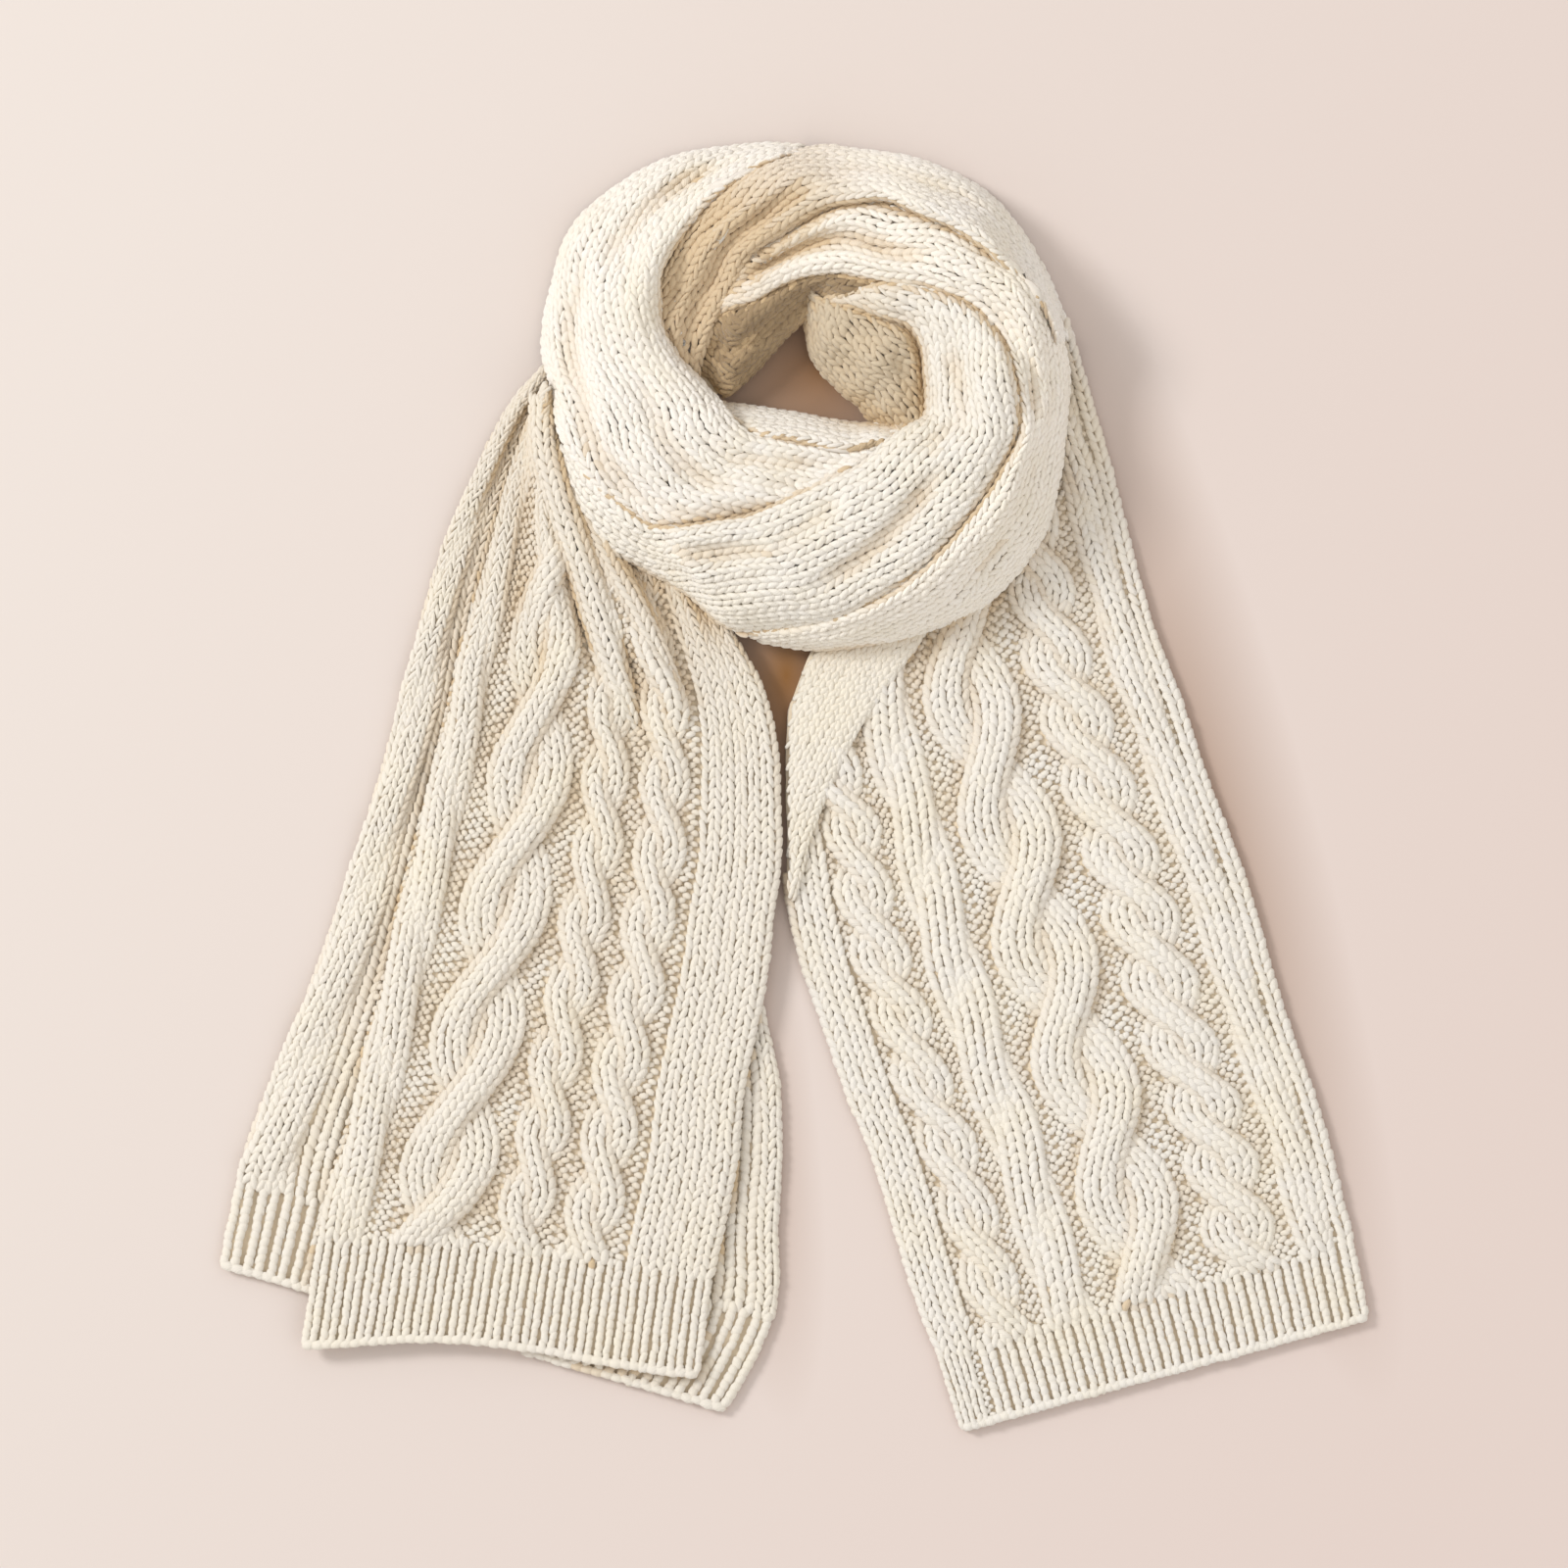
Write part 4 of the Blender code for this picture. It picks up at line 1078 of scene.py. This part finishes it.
OUTER_WRAP = (
    (-37, 271, 27, -49, 250, 20, 4),
    (-23, 280, 34, -35, 253, 28, 6),
    (-5, 292, 38, -20, 258, 32, 9),
    (16, 303, 42, 1, 268, 36, 11),
    (36, 308, 44, 25, 271, 40, 12),
    (61, 303, 46, 49, 266, 44, 13),
    (85, 293, 46, 70, 263, 45, 13),
    (107, 277, 46, 91, 254, 45, 13),
    (124, 262, 46, 106, 239, 45, 13),
    (137, 244, 30, 115, 221, 45, 16),
    (144, 221, 17, 118, 200, 45, 18),
    (143, 195, 12, 118, 184, 45, 22),
    (139, 164, 10, 110, 168, 45, 22),
    (131, 135, 9, 101, 153, 44, 21),
    (115, 112, 8, 85, 133, 43, 19),
    (94, 94, 8, 66, 114, 41, 17),
    (65, 83, 8, 44, 99, 37, 14),
    (39, 77, 10.4, 19, 89, 31, 10),
    (10, 74, 10, -9, 84, 23, 7),
    (-18, 78, 10, -30, 82, 15, 3),
)
FRONT_WRAP = (
    (15, 258, 32, 12, 253, 28, 2),
    (32, 262, 42, 27, 254, 37, 3),
    (49, 265, 46, 46, 248, 36, 8),
    (70, 262, 46, 60, 243, 34, 11),
    (91, 254, 46, 67, 232, 30, 15),
    (107, 238, 46, 69, 218, 26, 20),
    (116, 216, 46, 70, 205, 24, 24),
    (118, 191, 46, 69, 196, 30, 22),
    (113, 175, 46, 60, 190, 42, 16),
    (102, 155, 45, 50, 183, 46, 14),
    (85, 134, 44, 35, 170, 46, 13),
    (65, 114, 42, 20, 163, 46, 13),
    (43, 100, 38, 5, 156, 46, 14),
    (18, 90, 32, -21, 144, 46, 16),
    (-10, 86, 24, -41, 140, 46, 18),
    (-35, 86, 14, -60, 137, 46, 20),
    (-57, 104, 16, -68, 137, 45, 16),
    (-81, 118, 15.6, -78, 139, 43, 12),
    (-99, 127, 17.2, -88, 146, 41, 10),
    (-111, 143, 18.4, -100, 156, 39, 8),
    (-119, 159, 18, -109, 166, 37, 6),
    (-126, 179, 19, -120, 182, 32, 3),
)
INNER_BACK = (
    (-46, 246, 20, -55, 224, 6, 5),
    (-36, 251, 24, -45, 217.5, 5, 8),
    (-28, 254, 28, -35, 209, 5, 12),
    (-16, 258, 31, -18, 224, 6, 12),
    (-2, 265, 34, -5, 238, 9, 11),
    (11, 269, 37, 7, 249, 16, 9),
    (24, 269, 40, 19, 256, 27, 8),
    (34, 267, 42, 31, 257, 36, 6),
    (50, 266, 42, 45, 254, 37, 4),
)
RIGHT_FOLD = (
    (9, 262, 28, 2, 256, 14, 3),
    (17, 256, 33, 6, 246, 14, 7),
    (31, 251, 34, 10, 229, 7, 14),
    (47, 246, 33, 18, 218, 5, 17),
    (59, 240, 32, 27, 209, 5, 20),
    (65, 228, 26, 35, 203, 5, 18),
    (67, 214, 22, 39, 197, 5, 14),
    (67, 201, 22, 43, 193, 5, 11),
    (68, 190, 24, 47, 185, 6, 9),
)
# first section, part of the way across, last section, part there, depth, half-width in mm
LEFT_WRAP_CREASES = (
    (4.0, 0.27, 12.8, 0.10, 8.5, 6.0),
    (2.6, 0.50, 5.6, 0.62, 5.5, 6.5),
    (6.5, 0.66, 13.5, 0.45, 5.5, 7.0),
    (0.8, 0.48, 6.0, 0.44, 9.0, 5.5),
    (9.5, 0.76, 15.5, 0.70, 5.0, 5.5),
)
TOP_WRAP_CREASES = (
    (0.2, 0.62, 6.6, 0.62, 10.0, 5.0),
    (1.0, 0.25, 5.4, 0.22, 6.0, 4.5),
    (6.6, 0.34, 13.0, 0.46, 9.0, 5.5),
)
OUTER_WRAP_CREASES = (
    (0.4, 0.40, 6.0, 0.58, 10.0, 5.0),
    (6.5, 0.72, 12.0, 0.62, 6.5, 5.5),
    (9.0, 0.34, 16.0, 0.44, 7.0, 6.0),
)
FRONT_WRAP_CREASES = (
    (8.6, 0.52, 13.4, 0.26, 8.5, 5.5),
    (12.2, 0.66, 17.6, 0.80, 7.0, 6.0),
    (4.0, 0.60, 9.5, 0.68, 7.0, 6.0),
    (14.6, 0.22, 19.0, 0.46, 6.0, 7.0),
    (10.8, 0.84, 14.0, 0.62, 5.0, 5.5),
)
INNER_BACK_CREASES = ((0.0, 0.50, 6.5, 0.48, 9.0, 6.0),)
RIGHT_FOLD_CREASES = ((1.0, 0.30, 6.5, 0.20, 5.0, 5.5), (2.0, 0.70, 6.0, 0.76, 4.0, 5.5))
# Painted shade along the stretches that start in a hollow: places, shades
TOP_SHADE = ((0, 2, 5, 8.5), (0.62, 0.55, 0.42, 0.02))
OUTER_SHADE = ((0, 2, 4), (0.30, 0.16, 0))
FRONT_SHADE = ((0, 2, 4), (0.30, 0.12, 0))
# Painted light takes the shade off the outer wrap's steep side, which stands in the open: strength, mm across, and
# places with how much they have
OPEN_SIDE, OPEN_ACROSS, OPEN_PLACES = 0.9, (12, 20), ((8, 9, 16, 17), (0, 1, 1, 0))
# Lit and shaded copies of the same cream yarn, one for each stretch, for the light that falls on it: the outer wrap's
# is painted light, the front wrap's darker, and the shaded and inner ones are painted shade deep in the ring
FRONT_YARN = (0.84, 0.80, 0.735)
OUTER_YARN = (0.92, 0.865, 0.785)
SHADED_YARN, SHADED_WARM = (0.62, 0.52, 0.38), (0.62, 0.50, 0.34)
INNER_YARN, INNER_WARM, INNER_SHADE_BETWEEN = (0.31, 0.215, 0.12), (0.40, 0.29, 0.165), (0.17, 0.10, 0.05)


def wrap_cloth(sections, creases, from_inner, facing):
    """A stretch of the ring as cloth, measured from its inner or its outer edge."""

    def section(places):
        row = on_curve(sections, places)
        outer, inner, crown = row[:, :3], row[:, 3:6], row[:, 6]
        line = inner - outer
        across = np.hypot(line[:, 0], line[:, 1])
        line_step = line * SEAM / across[:, None]
        outer, line = outer + line_step, line - 2 * line_step
        part = 0.5 - 0.5 * np.cos(np.pi * np.linspace(0, 1, SECTION_POINTS)[:, None])
        points = outer + line * part[..., None]
        arch = np.sqrt(np.clip(1 - np.abs(2 * part - 1) ** ARCH_POWER, 0, 1))
        depth = np.zeros(np.broadcast(part, places).shape)
        for first, first_part, last, last_part, deepest, half_width in creases:
            f = (places - first) / (last - first)
            fade = np.clip(CREASE_FADE * np.minimum(f, 1 - f), 0, 1)
            middle = first_part + (last_part - first_part) * f
            depth = np.maximum(depth, deepest * fade * np.exp(-(((part - middle) * across / half_width) ** 2)))
        swell = SWELL
        for along, over, start in SWELL_WAVES:
            swell = swell * np.sin(along * places + over * part + start)
        points[..., 2] += crown * arch + (swell * arch - depth) * np.clip(crown / FULL_CROWN, 0, 1)
        return points[::-1] if from_inner else points

    return measured_cloth(section, 0.0, len(sections) - 1.0, facing)


def edge_chain(cloth):
    """One chain of stitches along the far edge, over the ends of the columns that run out there."""
    ends = cloth["ends"](cloth["places"])
    lines = np.clip(np.stack((ends - CHAIN, ends)), 0, None)
    return columns_of_stitches(cloth, lines, 0 * lines + EDGE_RISE, False, ())


def lay_wrap(name, sections, creases, used, from_inner=True, facing=1, shade=None):
    """Knit one stretch of the ring."""
    cloth = wrap_cloth(sections, creases, from_inner, facing)
    stitches = np.concatenate((all_stitches(cloth), edge_chain(cloth)))
    columns, rows = round(cloth["across"] / CHAIN) + 1, int(cloth["length"] / WRAP_STEP)
    lay_cloth(
        name,
        ((name + "_stitches", stitches),),
        lining(name + "_lining", cloth, (), used, columns, rows, sunk=WRAP_SUNK, near=WRAP_NEAR, far=WRAP_FAR),
        used,
        shade=shade,
    )


def beside_top_wrap(rows):
    """Painted shade where the outer wrap starts, less painted light on its open outer side."""
    start, end = OPEN_ACROSS
    lit = np.clip((rows[:, ACROSS] - start) / (end - start), 0, 1) * np.interp(rows[:, PLACE], *OPEN_PLACES)
    return np.interp(rows[:, PLACE], *OUTER_SHADE) - OPEN_SIDE * lit


shaded_wool = wool("shaded_wool", SHADED_YARN, SHADED_WARM)
front_wool = wool("front_wool", FRONT_YARN)
outer_wool = wool("outer_wool", OUTER_YARN)
shaded_inner_wool = wool("shaded_inner_wool", INNER_YARN, INNER_WARM, INNER_SHADE_BETWEEN)
lay_wrap("left_wrap", LEFT_WRAP, LEFT_WRAP_CREASES, cream_wool, facing=-1)
lay_wrap("hole_lip", HOLE_LIP, (), cream_wool, from_inner=False, facing=-1)
lay_wrap("top_wrap", TOP_WRAP, TOP_WRAP_CREASES, cream_wool, shade=shade_along(*TOP_SHADE))
lay_wrap("outer_wrap", OUTER_WRAP, OUTER_WRAP_CREASES, outer_wool, shade=beside_top_wrap)
lay_wrap("front_wrap", FRONT_WRAP, FRONT_WRAP_CREASES, front_wool, shade=shade_along(*FRONT_SHADE))
lay_wrap("inner_back", INNER_BACK, INNER_BACK_CREASES, shaded_inner_wool)
lay_wrap("right_fold", RIGHT_FOLD, RIGHT_FOLD_CREASES, shaded_wool)
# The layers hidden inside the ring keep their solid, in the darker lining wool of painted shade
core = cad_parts["ring_core"]
for slot in core.material_slots:
    slot.material = shaded_under_wool

bpy.data.objects.remove(knit_stitch)
bpy.data.objects.remove(purl_stitch)
